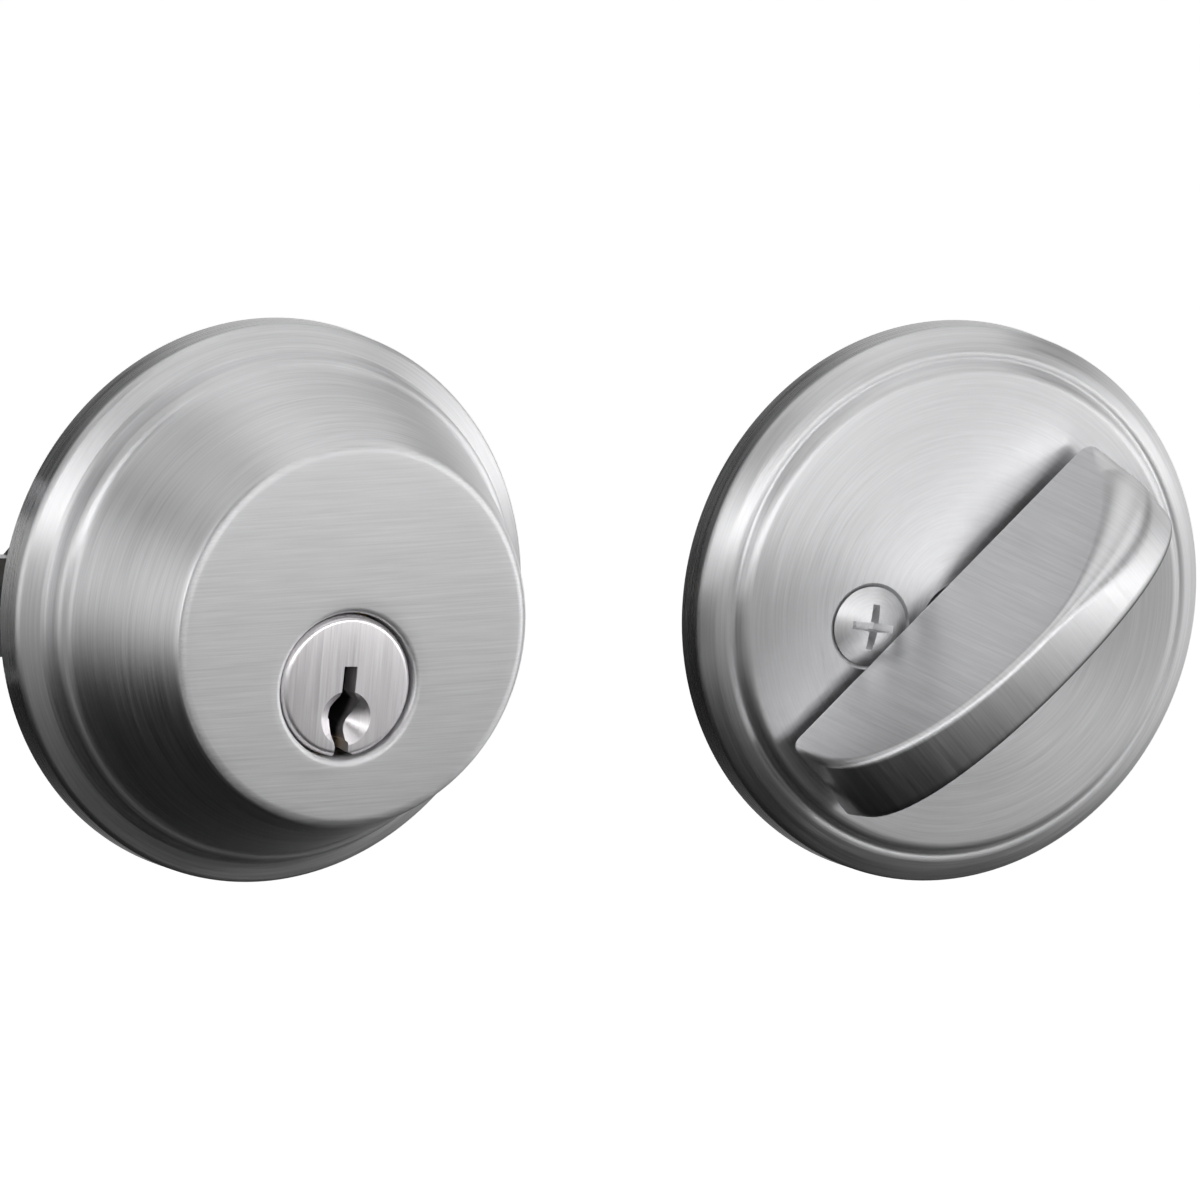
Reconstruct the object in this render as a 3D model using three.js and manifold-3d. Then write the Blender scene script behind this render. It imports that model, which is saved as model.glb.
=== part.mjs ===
// Single-cylinder deadbolt: exterior keyed half, interior thumbturn half and the bolt unit.
//
// Frame: millimetres, +Z up. The door's outer face is the plane y = 0 and the door lies at y > 0.
// The origin is the centre of the cross bore in that face, on the axis of the exterior half.
// The interior half is laid beside the exterior one, its back in the same plane and facing -Y too.
// The bolt unit sits behind the exterior half, as installed, and throws towards -X.
// At rest the thumbturn stands halfway between unlocked (upright) and locked (level).

import * as THREE from "three";
import { mergeVertices } from "three/addons/utils/BufferGeometryUtils.js";
import Module from "manifold-3d";

// Driving dimensions.
const ROSE_RADIUS = 32.5; // covers a 54 mm cross bore
const HALF_PITCH = 88; // from the exterior axis to the interior axis
const PLUG_DROP = 6; // plug axis below the centre of the exterior rose
const TURN_DROP = 2; // thumbturn axis below the centre of the interior rose
const POST_SPREAD = 11.8; // each mounting screw from the tailpiece axis
const HOUSING_DEPTH = 25; // door face to the front of the exterior housing
const PLATE_DEPTH = 7.4; // door face to the front of the interior plate
const WALL = 2.6; // exterior housing
const BACKSET = 60;
const DOOR_THICKNESS = 44.5;
const THROW = 25.4;
const QUARTER_TURN = Math.PI / 2; // thumbturn travel for the whole throw

// Cylinder.
const PLUG_RADIUS = 6.4;
const PLUG_FACE_RADIUS = 8.2;
const PLUG_RECESS = 0.5; // plug face behind the housing face
const SHELL_RADIUS = 8.4;
const PIN_RADIUS = 1.45;
const PIN_PITCH = 3.96;
const KEY_PIN_LENGTHS = [4.2, 5.4, 4.6, 5.0, 3.8];
const DRIVER_LENGTH = 4.4;
const CHAMBER_TOP = 18.6; // above the plug axis
const RUNNING = 0.05; // radial clearance of a turning fit
const GAP = 0.3; // between pieces that rest on each other
const POST = { radius: 3.1, bore: 2.5, end: 24, floor: 2 };

// Bolt unit.
const BOLT_LENGTH = 43.7;
const BOLT_HALF = { y: 7.75, z: 10.2 };
const CASE_HALF = { y: 9.4, z: 11.8 };
const CASE_WALL = 1.2;
const PLATE_THICKNESS = 1.5; // faceplate and support plate
const FACEPLATE = { width: 25.4, height: 57, corner: 6.3 };
const FACE_SCREW_RISE = 20.6;
const CRANK_PIN_RADIUS = 1.5;
const RIVET = { radius: 1.5, z: 6, inset: 6 }; // inset from the bolt's tail
const ANTI_SAW = { radius: 2.9, length: 31, z: -5 };

// Worked out from the dimensions above.
const PLUG_Z = -PLUG_DROP;
const BOLT_Y = DOOR_THICKNESS / 2;
const EDGE_X = -BACKSET;
const CRANK = THROW / 2 / Math.sin(QUARTER_TURN / 2);
const PLUG_FRONT = HOUSING_DEPTH - PLUG_RECESS;
const FLANGE_BACK = HOUSING_DEPTH - 5.4;

const wasm = await Module();
wasm.setup();

const finish = (color, roughness, metalness = 1) => ({ color, roughness, metalness });
const SATIN = finish(0xc3c2c2, 0.32);
const FACE_SATIN = finish(0xcdc6cb, 0.3);
const STEEL = finish(0x9a9b9e, 0.38);
const SPRING_STEEL = finish(0x8d8f92, 0.3);
const BRASS = finish(0xb8954f, 0.36);
const ZINC = finish(0xa3a5a8, 0.5);

// ---- Shapes and solids ----

// The radius of an n-sided hole whose flats stay outside a round of radius r.
const around = (r, n) => r / Math.cos(Math.PI / n);

function solid(geometry) {
  const bare = geometry.index ? geometry.toNonIndexed() : geometry.clone();
  for (const name of Object.keys(bare.attributes)) {
    if (name !== "position") bare.deleteAttribute(name);
  }
  const merged = mergeVertices(bare, 1e-4);
  const make = (triVerts) =>
    new wasm.Manifold(
      new wasm.Mesh({ numProp: 3, vertProperties: merged.attributes.position.array, triVerts }),
    );
  const made = make(new Uint32Array(merged.index.array));
  if (made.volume() > 0) return made;
  const flipped = new Uint32Array(merged.index.array);
  for (let i = 0; i < flipped.length; i += 3) {
    [flipped[i + 1], flipped[i + 2]] = [flipped[i + 2], flipped[i + 1]];
  }
  return make(flipped);
}

const join = (first, ...rest) => rest.reduce((sum, next) => sum.add(next), first);
const cut = (first, ...rest) => rest.reduce((left, next) => left.subtract(next), first);

function geometryOf(made) {
  const { vertProperties, triVerts, numProp } = made.getMesh();
  const positions = new Float32Array((vertProperties.length / numProp) * 3);
  for (let i = 0; i < positions.length / 3; i++) {
    positions.set(vertProperties.subarray(i * numProp, i * numProp + 3), i * 3);
  }
  const geometry = new THREE.BufferGeometry();
  geometry.setAttribute("position", new THREE.BufferAttribute(positions, 3));
  geometry.setIndex(new THREE.BufferAttribute(triVerts, 1));
  return geometry;
}

// A turned piece about Y from [radius, depth] pairs, depth counted from the door face towards -Y.
function turned(profile, segments, x = 0, z = 0) {
  const points = profile.map(([r, depth]) => new THREE.Vector2(r, -depth));
  return solid(new THREE.LatheGeometry(points, segments).translate(x, 0, z));
}

// A round bar along Y from y0 to y1.
function bar(radius, y0, y1, x = 0, z = 0, segments = 24) {
  const geometry = new THREE.CylinderGeometry(radius, radius, y1 - y0, segments);
  return solid(geometry.translate(x, (y0 + y1) / 2, z));
}

function box(x0, x1, y0, y1, z0, z1) {
  const geometry = new THREE.BoxGeometry(x1 - x0, y1 - y0, z1 - z0);
  return solid(geometry.translate((x0 + x1) / 2, (y0 + y1) / 2, (z0 + z1) / 2));
}

// A shape drawn in the XZ plane, from y0 to y1.
function slabY(shape, y0, y1, curveSegments = 12) {
  const geometry = new THREE.ExtrudeGeometry(shape, {
    depth: y1 - y0,
    bevelEnabled: false,
    curveSegments,
  });
  return solid(geometry.rotateX(Math.PI / 2).translate(0, y1, 0));
}

// A shape drawn in the YZ plane, from x0 to x1.
function slabX(shape, x0, x1, curveSegments = 12) {
  const geometry = new THREE.ExtrudeGeometry(shape, {
    depth: x1 - x0,
    bevelEnabled: false,
    curveSegments,
  });
  const turn = new THREE.Matrix4().set(0, 0, 1, x0, 1, 0, 0, 0, 0, 1, 0, 0, 0, 0, 0, 1);
  return solid(geometry.applyMatrix4(turn));
}

function polygon(points) {
  return new THREE.Shape(points.map(([a, b]) => new THREE.Vector2(a, b)));
}

function roundedRectangle(halfWidth, halfHeight, corner) {
  const shape = new THREE.Shape();
  const [w, h, c] = [halfWidth, halfHeight, corner];
  shape.moveTo(w - c, -h);
  shape.absarc(w - c, -h + c, c, -Math.PI / 2, 0);
  shape.absarc(w - c, h - c, c, 0, Math.PI / 2);
  shape.absarc(-w + c, h - c, c, Math.PI / 2, Math.PI);
  shape.absarc(-w + c, -h + c, c, Math.PI, 1.5 * Math.PI);
  return shape;
}

// Part of a ring between two radii, its middle at the angle given, counted from +X.
function sector(inner, outer, middle, width) {
  const shape = new THREE.Shape();
  shape.absarc(0, 0, outer, middle - width / 2, middle + width / 2, false);
  shape.absarc(0, 0, inner, middle + width / 2, middle - width / 2, true);
  return shape;
}

const part = new THREE.Group();

function add(name, shape, look, parent = part) {
  const geometry = shape.isBufferGeometry ? shape : geometryOf(shape);
  geometry.computeVertexNormals();
  const mesh = new THREE.Mesh(geometry, new THREE.MeshStandardMaterial(look));
  mesh.name = name;
  parent.add(mesh);
}

const exterior = new THREE.Group();
const boltUnit = new THREE.Group();
const interior = new THREE.Group();
interior.position.x = HALF_PITCH;
part.add(exterior, boltUnit, interior);

// ---- Exterior half ----

// The domed cover: rim, stepped bead, tapered flank and flat face, hollow behind.
function exteriorHousing() {
  const outside = [
    [0, 0], [ROSE_RADIUS, 0], [32.4, 3.6], [31.9, 4.2], [30.2, 5.0], [29.7, 5.5],
    [29.5, 7.3], [29.1, 8.0], [28.4, 8.5], [28.0, 9.4], [25.3, 17.0], [22.7, 23.3],
    [22.0, 24.5], [20.9, HOUSING_DEPTH], [0, HOUSING_DEPTH],
  ];
  const inside = [
    [0, -1], [29.8, -1], [29.8, 2.0], [27.0, 5.0], [25.4, 9.4], [22.7, 17.0],
    [20.6, HOUSING_DEPTH - WALL - 1], [0, HOUSING_DEPTH - WALL - 1],
  ];
  const hole = bar(around(PLUG_FACE_RADIUS + 0.35, 32), -40, 0, 0, PLUG_Z, 32);
  return cut(turned(outside, 56), turned(inside, 56), hole);
}
add("exterior_housing", exteriorHousing(), SATIN, exterior);

// Hardened disc behind the face.
const GUARD_FRONT = HOUSING_DEPTH - WALL - 1 - GAP;
const GUARD_BACK = FLANGE_BACK + 0.1;
add(
  "drill_guard_plate",
  cut(
    bar(17.5, -GUARD_FRONT, -GUARD_BACK, 0, 0, 40),
    bar(around(PLUG_FACE_RADIUS + 0.35, 32), -40, 0, 0, PLUG_Z, 32),
  ),
  STEEL,
  exterior,
);

// Stator: a round barrel about the plug with a block above it that holds five pin chambers.
const SHELL_FRONT = -(FLANGE_BACK - GAP);
const SHELL_BACK = 6;
const BLOCK_HALF = 4.6;
const FIRST_PIN_Y = SHELL_FRONT + 3;
const pinY = (i) => FIRST_PIN_Y + i * PIN_PITCH;
const chamberHole = (i, z0, z1) => {
  const geometry = new THREE.CylinderGeometry(PIN_RADIUS + 0.07, PIN_RADIUS + 0.07, z1 - z0, 16);
  return solid(geometry.rotateX(Math.PI / 2).translate(0, pinY(i), PLUG_Z + (z0 + z1) / 2));
};
const PINS = KEY_PIN_LENGTHS.map((_, i) => i);

function cylinderShell() {
  const barrel = bar(SHELL_RADIUS, SHELL_FRONT, SHELL_BACK, 0, PLUG_Z, 32);
  const block = box(-BLOCK_HALF, BLOCK_HALF, SHELL_FRONT, SHELL_BACK, PLUG_Z, PLUG_Z + CHAMBER_TOP);
  const bore = bar(around(PLUG_RADIUS + RUNNING, 32), -40, 20, 0, PLUG_Z, 32);
  const chambers = PINS.map((i) => chamberHole(i, 0, CHAMBER_TOP + 1));
  return cut(join(barrel, block), bore, ...chambers);
}
add("cylinder_shell", cylinderShell(), BRASS, exterior);

// Strip that closes the tops of the chambers.
add(
  "chamber_cover",
  box(
    -BLOCK_HALF, BLOCK_HALF, SHELL_FRONT, SHELL_BACK,
    PLUG_Z + CHAMBER_TOP + GAP, PLUG_Z + CHAMBER_TOP + GAP + 1.2,
  ),
  BRASS,
  exterior,
);

// Keyway section about the plug axis, [x, z]: warded on both sides and open at the bottom.
const KEYWAY = [
  [-0.45, 2.35], [1.15, 2.35], [1.1, -0.2], [0.8, -1.9], [1.75, -2.4], [1.4, -3.8],
  [0.6, -4.7], [0.4, -5.6], [0.4, -6.6], [0.75, -7.1], [0.75, -9], [-0.75, -9],
  [-0.75, -5.8], [-1.2, -4.4], [-1.45, -3.2], [-1.3, -2.0], [-0.75, -0.9], [-0.45, -0.3],
];

const BOSS = { radius: 5.5, back: 10.2, recess: 4.4, floor: 7.6 };
const LUG_WIDTH = THREE.MathUtils.degToRad(30);
const HEAD_CORE = 2.6;

// Plug: face flange, pin-drilled barrel and a rear boss with the driving recess.
function keyPlug() {
  const flange = turned(
    [
      [0, FLANGE_BACK], [PLUG_FACE_RADIUS, FLANGE_BACK], [PLUG_FACE_RADIUS, PLUG_FRONT - 0.5],
      [PLUG_FACE_RADIUS - 0.5, PLUG_FRONT], [0, PLUG_FRONT],
    ],
    32,
    0,
    PLUG_Z,
  );
  const barrel = bar(PLUG_RADIUS, -FLANGE_BACK - 0.1, SHELL_BACK + 0.2, 0, PLUG_Z, 32);
  const boss = bar(BOSS.radius, SHELL_BACK, BOSS.back, 0, PLUG_Z, 24);
  const keyway = slabY(polygon(KEYWAY.map(([x, z]) => [x, PLUG_Z + z])), -40, SHELL_BACK - 1);
  const countersink = turned(
    [[0, PLUG_FRONT - 1.8], [0.8, PLUG_FRONT - 1.8], [3.2, PLUG_FRONT + 0.1], [0, PLUG_FRONT + 0.1]],
    20,
    0.2,
    PLUG_Z - 3.7,
  );
  const recess = bar(BOSS.recess, BOSS.floor, BOSS.back + 1, 0, PLUG_Z, 24);
  const lugShape = sector(HEAD_CORE + 0.2, BOSS.recess + 0.3, Math.PI / 2, LUG_WIDTH);
  const lug = slabY(lugShape, BOSS.floor - 0.2, BOSS.back).translate([0, 0, PLUG_Z]);
  const holes = PINS.map((i) => chamberHole(i, 0.2, PLUG_RADIUS + 1));
  return join(cut(join(flange, barrel, boss), keyway, countersink, recess, ...holes), lug);
}
add("key_plug", keyPlug(), FACE_SATIN, exterior);

// Pin stacks, set so that each key pin ends at the shear line.
const SHEAR = Math.sqrt(PLUG_RADIUS ** 2 - PIN_RADIUS ** 2) - 0.05;
const DRIVER_BASE = PLUG_RADIUS + 0.12;

function keyPin(i) {
  const tip = 0.9;
  const length = KEY_PIN_LENGTHS[i];
  const profile = [[0, 0], [0.5, 0], [PIN_RADIUS, tip], [PIN_RADIUS, length], [0, length]];
  const points = profile.map(([r, h]) => new THREE.Vector2(r, h));
  const geometry = new THREE.LatheGeometry(points, 12).rotateX(Math.PI / 2);
  return solid(geometry.translate(0, pinY(i), PLUG_Z + SHEAR - length));
}

function driverPin(i) {
  const geometry = new THREE.CylinderGeometry(PIN_RADIUS, PIN_RADIUS, DRIVER_LENGTH, 12);
  return solid(geometry.rotateX(Math.PI / 2).translate(0, pinY(i), PLUG_Z + DRIVER_BASE + DRIVER_LENGTH / 2));
}

class Helix extends THREE.Curve {
  constructor(radius, height, turns) {
    super();
    Object.assign(this, { radius, height, turns });
  }
  getPoint(t, target = new THREE.Vector3()) {
    const angle = 2 * Math.PI * this.turns * t;
    return target.set(this.radius * Math.cos(angle), this.radius * Math.sin(angle), this.height * t);
  }
}

function pinSpring(i) {
  const wire = 0.18;
  const turns = 5;
  const base = DRIVER_BASE + DRIVER_LENGTH + GAP;
  const height = CHAMBER_TOP - base - 2 * wire;
  const section = polygon([0, 1, 2, 3, 4].map((k) => {
    const angle = (2 * Math.PI * k) / 5;
    return [wire * Math.cos(angle), wire * Math.sin(angle)];
  }));
  const geometry = new THREE.ExtrudeGeometry(section, {
    steps: turns * 8,
    extrudePath: new Helix(1.05, height, turns),
  });
  return solid(geometry.translate(0, pinY(i), PLUG_Z + base + wire));
}

for (const i of PINS) {
  add(`key_pin_${i + 1}`, keyPin(i), BRASS, exterior);
  add(`driver_pin_${i + 1}`, driverPin(i), BRASS, exterior);
  add(`pin_spring_${i + 1}`, pinSpring(i), SPRING_STEEL, exterior);
}

// Cap screwed on the boss: it holds the plug in and the tailpiece's head in its recess.
const CAP = { radius: 7.8, front: SHELL_BACK + GAP, lip: BOSS.back + GAP, back: BOSS.back + 1.5 };
add(
  "plug_retainer",
  cut(
    bar(CAP.radius, CAP.front, CAP.back, 0, PLUG_Z, 24),
    bar(around(BOSS.radius + 0.05, 24), CAP.front - 1, CAP.lip, 0, PLUG_Z, 24),
    bar(3.7, 0, 20, 0, PLUG_Z, 24),
  ),
  BRASS,
  exterior,
);

// Flat driving bar with a lug on its head that the plug picks up after free travel.
const TAILPIECE = { half: [3.2, 0.8], end: 46.5 };
function tailpiece() {
  const core = bar(HEAD_CORE, BOSS.floor + GAP, BOSS.back + 2 * GAP, 0, 0, 24);
  const lug = slabY(sector(1, BOSS.recess - 0.2, -Math.PI / 2, LUG_WIDTH), BOSS.floor + GAP, BOSS.back - GAP);
  const [w, h] = TAILPIECE.half;
  const blade = box(-w, w, BOSS.back + GAP, TAILPIECE.end, -h, h).rotate([0, 45, 0]);
  return join(core, lug, blade).translate([0, 0, PLUG_Z]);
}
add("tailpiece", tailpiece(), STEEL, exterior);

// Clearance holes about both posts, through whatever they cross.
function postHoles() {
  const radius = around(POST.radius + GAP, 16);
  return [-1, 1].map((side) => bar(radius, -9, 50, side * POST_SPREAD, PLUG_Z, 16));
}

// Plate that clamps the cylinder in the housing, open for the shell.
function clampPlate() {
  const disc = bar(26, -2.6, -0.8, 0, 0, 48);
  const barrel = bar(around(SHELL_RADIUS + GAP, 32), -9, 9, 0, PLUG_Z, 32);
  const half = BLOCK_HALF + GAP;
  const block = box(-half, half, -9, 9, PLUG_Z, PLUG_Z + CHAMBER_TOP + 2);
  return cut(disc, barrel, block, ...postHoles());
}
add("cylinder_clamp_plate", clampPlate(), STEEL, exterior);

// Posts tapped for the interior's screws.
for (const [name, side] of [["left", -1], ["right", 1]]) {
  const x = side * POST_SPREAD;
  add(
    `threaded_post_${name}`,
    cut(
      bar(POST.radius, SHELL_FRONT, POST.end, x, PLUG_Z, 16),
      bar(POST.bore, POST.floor, POST.end + 1, x, PLUG_Z, 12),
    ),
    STEEL,
    exterior,
  );
}

// ---- Bolt unit ----

const CASE_FRONT = EDGE_X + 2 * (PLATE_THICKNESS + GAP);
const CASE_BACK = 22;
const TUBE_BACK = -29;
const STRAP = { end: -16, low: -9.2, high: -3.6 }; // side straps from the tube to the bracket
const BRACKET = { step: -7.6, low: -1.3, high: 0.8 }; // its top, lower beside the left post
const BOLT_NOSE = EDGE_X - THROW / 2; // at half throw
const BOLT_TAIL = BOLT_NOSE + BOLT_LENGTH;
const LINK_FLOOR = -0.6;
const LINK_HALF_THICKNESS = 1.2;
const HUB = { radius: 4.2, half: 10.2, clearance: 0.35 };

// Case: a square tube round the bolt, two side straps, and a low bracket that carries the hub.
function boltCase() {
  const { y, z } = CASE_HALF;
  const outer = box(CASE_FRONT, CASE_BACK, BOLT_Y - y, BOLT_Y + y, -z, z);
  const inner = box(
    CASE_FRONT - 1, CASE_BACK + 1,
    BOLT_Y - y + CASE_WALL, BOLT_Y + y - CASE_WALL,
    -z + CASE_WALL, z - CASE_WALL,
  );
  const across = (points) => slabY(polygon(points), BOLT_Y - y - 1, BOLT_Y + y + 1);
  const above = across([
    [TUBE_BACK, z + 1], [TUBE_BACK, STRAP.high], [STRAP.end, STRAP.high], [STRAP.end, BRACKET.low],
    [BRACKET.step, BRACKET.low], [BRACKET.step, BRACKET.high],
    [CASE_BACK + 1, BRACKET.high], [CASE_BACK + 1, z + 1],
  ]);
  const below = across([
    [TUBE_BACK, -z - 1], [STRAP.end, -z - 1], [STRAP.end, STRAP.low], [TUBE_BACK, STRAP.low],
  ]);
  const journal = bar(around(HUB.radius + HUB.clearance, 24), 0, 50, 0, PLUG_Z, 24);
  return cut(outer, inner, above, below, journal, ...postHoles());
}
add("bolt_case", boltCase(), ZINC, boltUnit);

// A round bar along X at the bolt's depth.
function barX(radius, x0, x1, z, segments = 16) {
  const geometry = new THREE.CylinderGeometry(radius, radius, x1 - x0, segments);
  return solid(geometry.rotateZ(Math.PI / 2).translate((x0 + x1) / 2, BOLT_Y, z));
}

const rivetHole = () => bar(RIVET.radius + 0.2, 0, 50, BOLT_TAIL - RIVET.inset, RIVET.z, 12);

// Bolt with rounded long edges, bored for the anti-saw pin and slotted for the link.
function bolt() {
  const { y, z } = BOLT_HALF;
  const body = slabX(roundedRectangle(y, z, 2.5), BOLT_NOSE, BOLT_TAIL, 4).translate([0, BOLT_Y, 0]);
  const bore = barX(ANTI_SAW.radius + GAP, BOLT_TAIL - ANTI_SAW.length - 2, BOLT_TAIL + 1, ANTI_SAW.z);
  const slot = box(
    BOLT_TAIL - 12, BOLT_TAIL + 1,
    BOLT_Y - LINK_HALF_THICKNESS - GAP, BOLT_Y + LINK_HALF_THICKNESS + GAP,
    LINK_FLOOR - GAP, z + 1,
  );
  return cut(body, bore, slot, rivetHole());
}
add("bolt", bolt(), SATIN, boltUnit);
add(
  "anti_saw_pin",
  barX(ANTI_SAW.radius, BOLT_TAIL - ANTI_SAW.length - 1, BOLT_TAIL - 1, ANTI_SAW.z),
  STEEL,
  boltUnit,
);

// Link from the bolt's tail to the crank, waisted behind the tail and forked about the crank pin.
function boltLink() {
  const tail = BOLT_TAIL - 11.5;
  const forkHalf = CRANK_PIN_RADIUS + 0.65;
  const outline = polygon([
    [tail, LINK_FLOOR], [-28.6, LINK_FLOOR], [-28, -2.5], [-18.8, -2.5], [-17.8, LINK_FLOOR],
    [6.5, LINK_FLOOR], [6.5, 12.6], [forkHalf, 12.6], [forkHalf, 4.6],
    [-forkHalf, 4.6], [-forkHalf, 12.6], [-6.5, 12.6], [-6.5, 3.2], [-18.6, 3.2], [-20.5, 0.9],
    [-26.6, 0.9], [-29, 9.4], [tail, 9.4],
  ]);
  const plate = slabY(outline, BOLT_Y - LINK_HALF_THICKNESS, BOLT_Y + LINK_HALF_THICKNESS);
  return cut(plate, rivetHole());
}
add("bolt_link", boltLink(), STEEL, boltUnit);
add(
  "link_rivet",
  bar(RIVET.radius, BOLT_Y - 7.2, BOLT_Y + 7.2, BOLT_TAIL - RIVET.inset, RIVET.z, 12),
  STEEL,
  boltUnit,
);

// Hub with two cheeks and the crank pin between them; the tailpiece passes through it.
function camHub() {
  const hub = bar(HUB.radius, BOLT_Y - HUB.half, BOLT_Y + HUB.half, 0, 0, 20);
  const cheekShape = polygon([[-3.4, 0], [3.4, 0], [2.2, CRANK + 1], [-2.2, CRANK + 1]]);
  const cheeks = [-1, 1].map((side) => {
    const near = side * (LINK_HALF_THICKNESS + GAP);
    const far = side * (LINK_HALF_THICKNESS + GAP + 2);
    return slabY(cheekShape, BOLT_Y + Math.min(near, far), BOLT_Y + Math.max(near, far));
  });
  const pin = bar(CRANK_PIN_RADIUS, BOLT_Y - 3, BOLT_Y + 3, 0, CRANK, 10);
  const [w, h] = TAILPIECE.half;
  const slot = box(-w - 0.25, w + 0.25, 0, 60, -h - 0.25, h + 0.25).rotate([0, 45, 0]);
  return cut(join(hub, ...cheeks, pin), slot).translate([0, 0, PLUG_Z]);
}
add("cam_hub", camHub(), ZINC, boltUnit);

// Faceplate and support plate, both with a bolt window and two screw holes.
function edgePlate(x0, holeRadius, window) {
  const { width, height, corner } = FACEPLATE;
  const plate = slabX(roundedRectangle(width / 2, height / 2, corner), x0, x0 + PLATE_THICKNESS, 6);
  const opening = slabX(roundedRectangle(window.y, window.z, 2.7), x0 - 1, x0 + 4, 4);
  const holes = [-1, 1].map((side) =>
    solid(new THREE.CylinderGeometry(holeRadius, holeRadius, 9, 20).rotateZ(Math.PI / 2)
      .translate(x0, 0, side * FACE_SCREW_RISE)));
  return cut(plate, opening, ...holes).translate([0, BOLT_Y, 0]);
}
const WINDOW = { y: BOLT_HALF.y + 0.35, z: BOLT_HALF.z + 0.35 };
add("faceplate", edgePlate(EDGE_X, 4.2, WINDOW), SATIN, boltUnit);
add("support_plate", edgePlate(EDGE_X + PLATE_THICKNESS + GAP, 2.6, WINDOW), STEEL, boltUnit);

// A countersunk wood screw along +X; its head is flush with the faceplate.
function faceplateScrew(side) {
  const points = [[0, 0], [3.9, 0], [2.1, 1.6], [1.9, 16], [0, 20]].map(([r, h]) => new THREE.Vector2(r, h));
  const body = solid(new THREE.LatheGeometry(points, 16));
  const cross = join(box(-2, 2, -0.1, 1.2, -0.4, 0.4), box(-0.4, 0.4, -0.1, 1.2, -2, 2));
  return cut(body, cross).rotate([0, 0, -90]).translate([EDGE_X + 0.05, BOLT_Y, side * FACE_SCREW_RISE]);
}
add("faceplate_screw_lower", faceplateScrew(-1), STEEL, boltUnit);
add("faceplate_screw_upper", faceplateScrew(1), STEEL, boltUnit);

// ---- Interior half ----

// Stamped rose: rim, shoulder, groove and a flat plate with a hub hole and two dimples.
const COLLAR_RADIUS = 4.9; // of the thumbturn, where it goes through the rose
const OVAL_HEAD = { radius: 4.65, rise: 1.0, cone: 2.2 };
const SCREW = { radius: 2.3, end: 30 };
function interiorRose() {
  const outside = [
    [0, 0], [ROSE_RADIUS, 0], [32.4, 3.6], [31.9, 4.3], [30.8, 5.4], [29.9, 6.0], [29.3, 6.1],
    [28.9, 5.8], [28.6, 6.6], [28.1, 7.2], [27.4, PLATE_DEPTH], [0, PLATE_DEPTH],
  ];
  const inside = [
    [0, -1], [30.6, -1], [30.6, 3.2], [28.4, 4.2], [27.2, PLATE_DEPTH - 2], [0, PLATE_DEPTH - 2],
  ];
  const hubHole = bar(around(COLLAR_RADIUS + GAP, 32), -20, 5, 0, -TURN_DROP, 32);
  const dimples = [-1, 1].map((side) =>
    turned(
      [[0, 0], [2.9, 0], [2.9, PLATE_DEPTH - OVAL_HEAD.cone], [5, PLATE_DEPTH + 0.01], [5, 12], [0, 12]],
      24,
      side * POST_SPREAD,
      -TURN_DROP,
    ));
  return cut(turned(outside, 56), turned(inside, 56), hubHole, ...dimples);
}
add("interior_rose", interiorRose(), SATIN, interior);

add(
  "backing_plate",
  cut(
    bar(27.5, -3.2, -1.2, 0, 0, 40),
    bar(7.6, -9, 9, 0, -TURN_DROP, 24),
    ...[-1, 1].map((side) => bar(SCREW.radius + 0.5, -9, 9, side * POST_SPREAD, -TURN_DROP, 16)),
  ),
  STEEL,
  interior,
);

// Thumbturn: a D-shaped grip with drafted sides on a round collar, at 45 degrees at rest.
const GRIP = { halfLength: 25.2, halfWidth: 5.8, height: 22, gap: 1.3, draft: 0.115, round: 1.2 };
const SPINDLE = { radius: 4.2, front: PLATE_DEPTH + 6.5, back: 0.5 };
function thumbturn() {
  const { halfLength: l, halfWidth: w, height: h, gap, draft, round } = GRIP;
  const outline = new THREE.Shape();
  outline.moveTo(-l + round, round);
  outline.lineTo(-l + round, 6);
  outline.bezierCurveTo(-l + round + 0.1, 14.4, -15, h - round, 0, h - round);
  outline.bezierCurveTo(15, h - round, l - round - 0.1, 14.4, l - round, 6);
  outline.lineTo(l - round, round);
  const grip = new THREE.ExtrudeGeometry(outline, {
    depth: 2 * (w - round),
    bevelThickness: round,
    bevelSize: round,
    bevelSegments: 2,
    curveSegments: 12,
  }).translate(0, 0, -(w - round));
  const at = grip.attributes.position;
  for (let i = 0; i < at.count; i++) at.setZ(i, at.getZ(i) * (1 - (draft * at.getY(i)) / w));
  // The outline's y points out of the door and its x along the grip.
  const seat = new THREE.Matrix4().set(1, 0, 0, 0, 0, -1, 0, -(PLATE_DEPTH + gap), 0, 0, -1, 0, 0, 0, 0, 1);
  const body = solid(grip.applyMatrix4(seat)).rotate([0, -45, 0]);
  const collar = bar(COLLAR_RADIUS, -(PLATE_DEPTH + gap + 0.4), -(PLATE_DEPTH - 2), 0, 0, 32);
  const bore = bar(around(SPINDLE.radius + 0.05, 24), -(SPINDLE.front + GAP), 0, 0, 0, 24);
  return cut(join(body, collar), bore).translate([0, 0, -TURN_DROP]);
}
add("thumbturn", thumbturn(), SATIN, interior);

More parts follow.
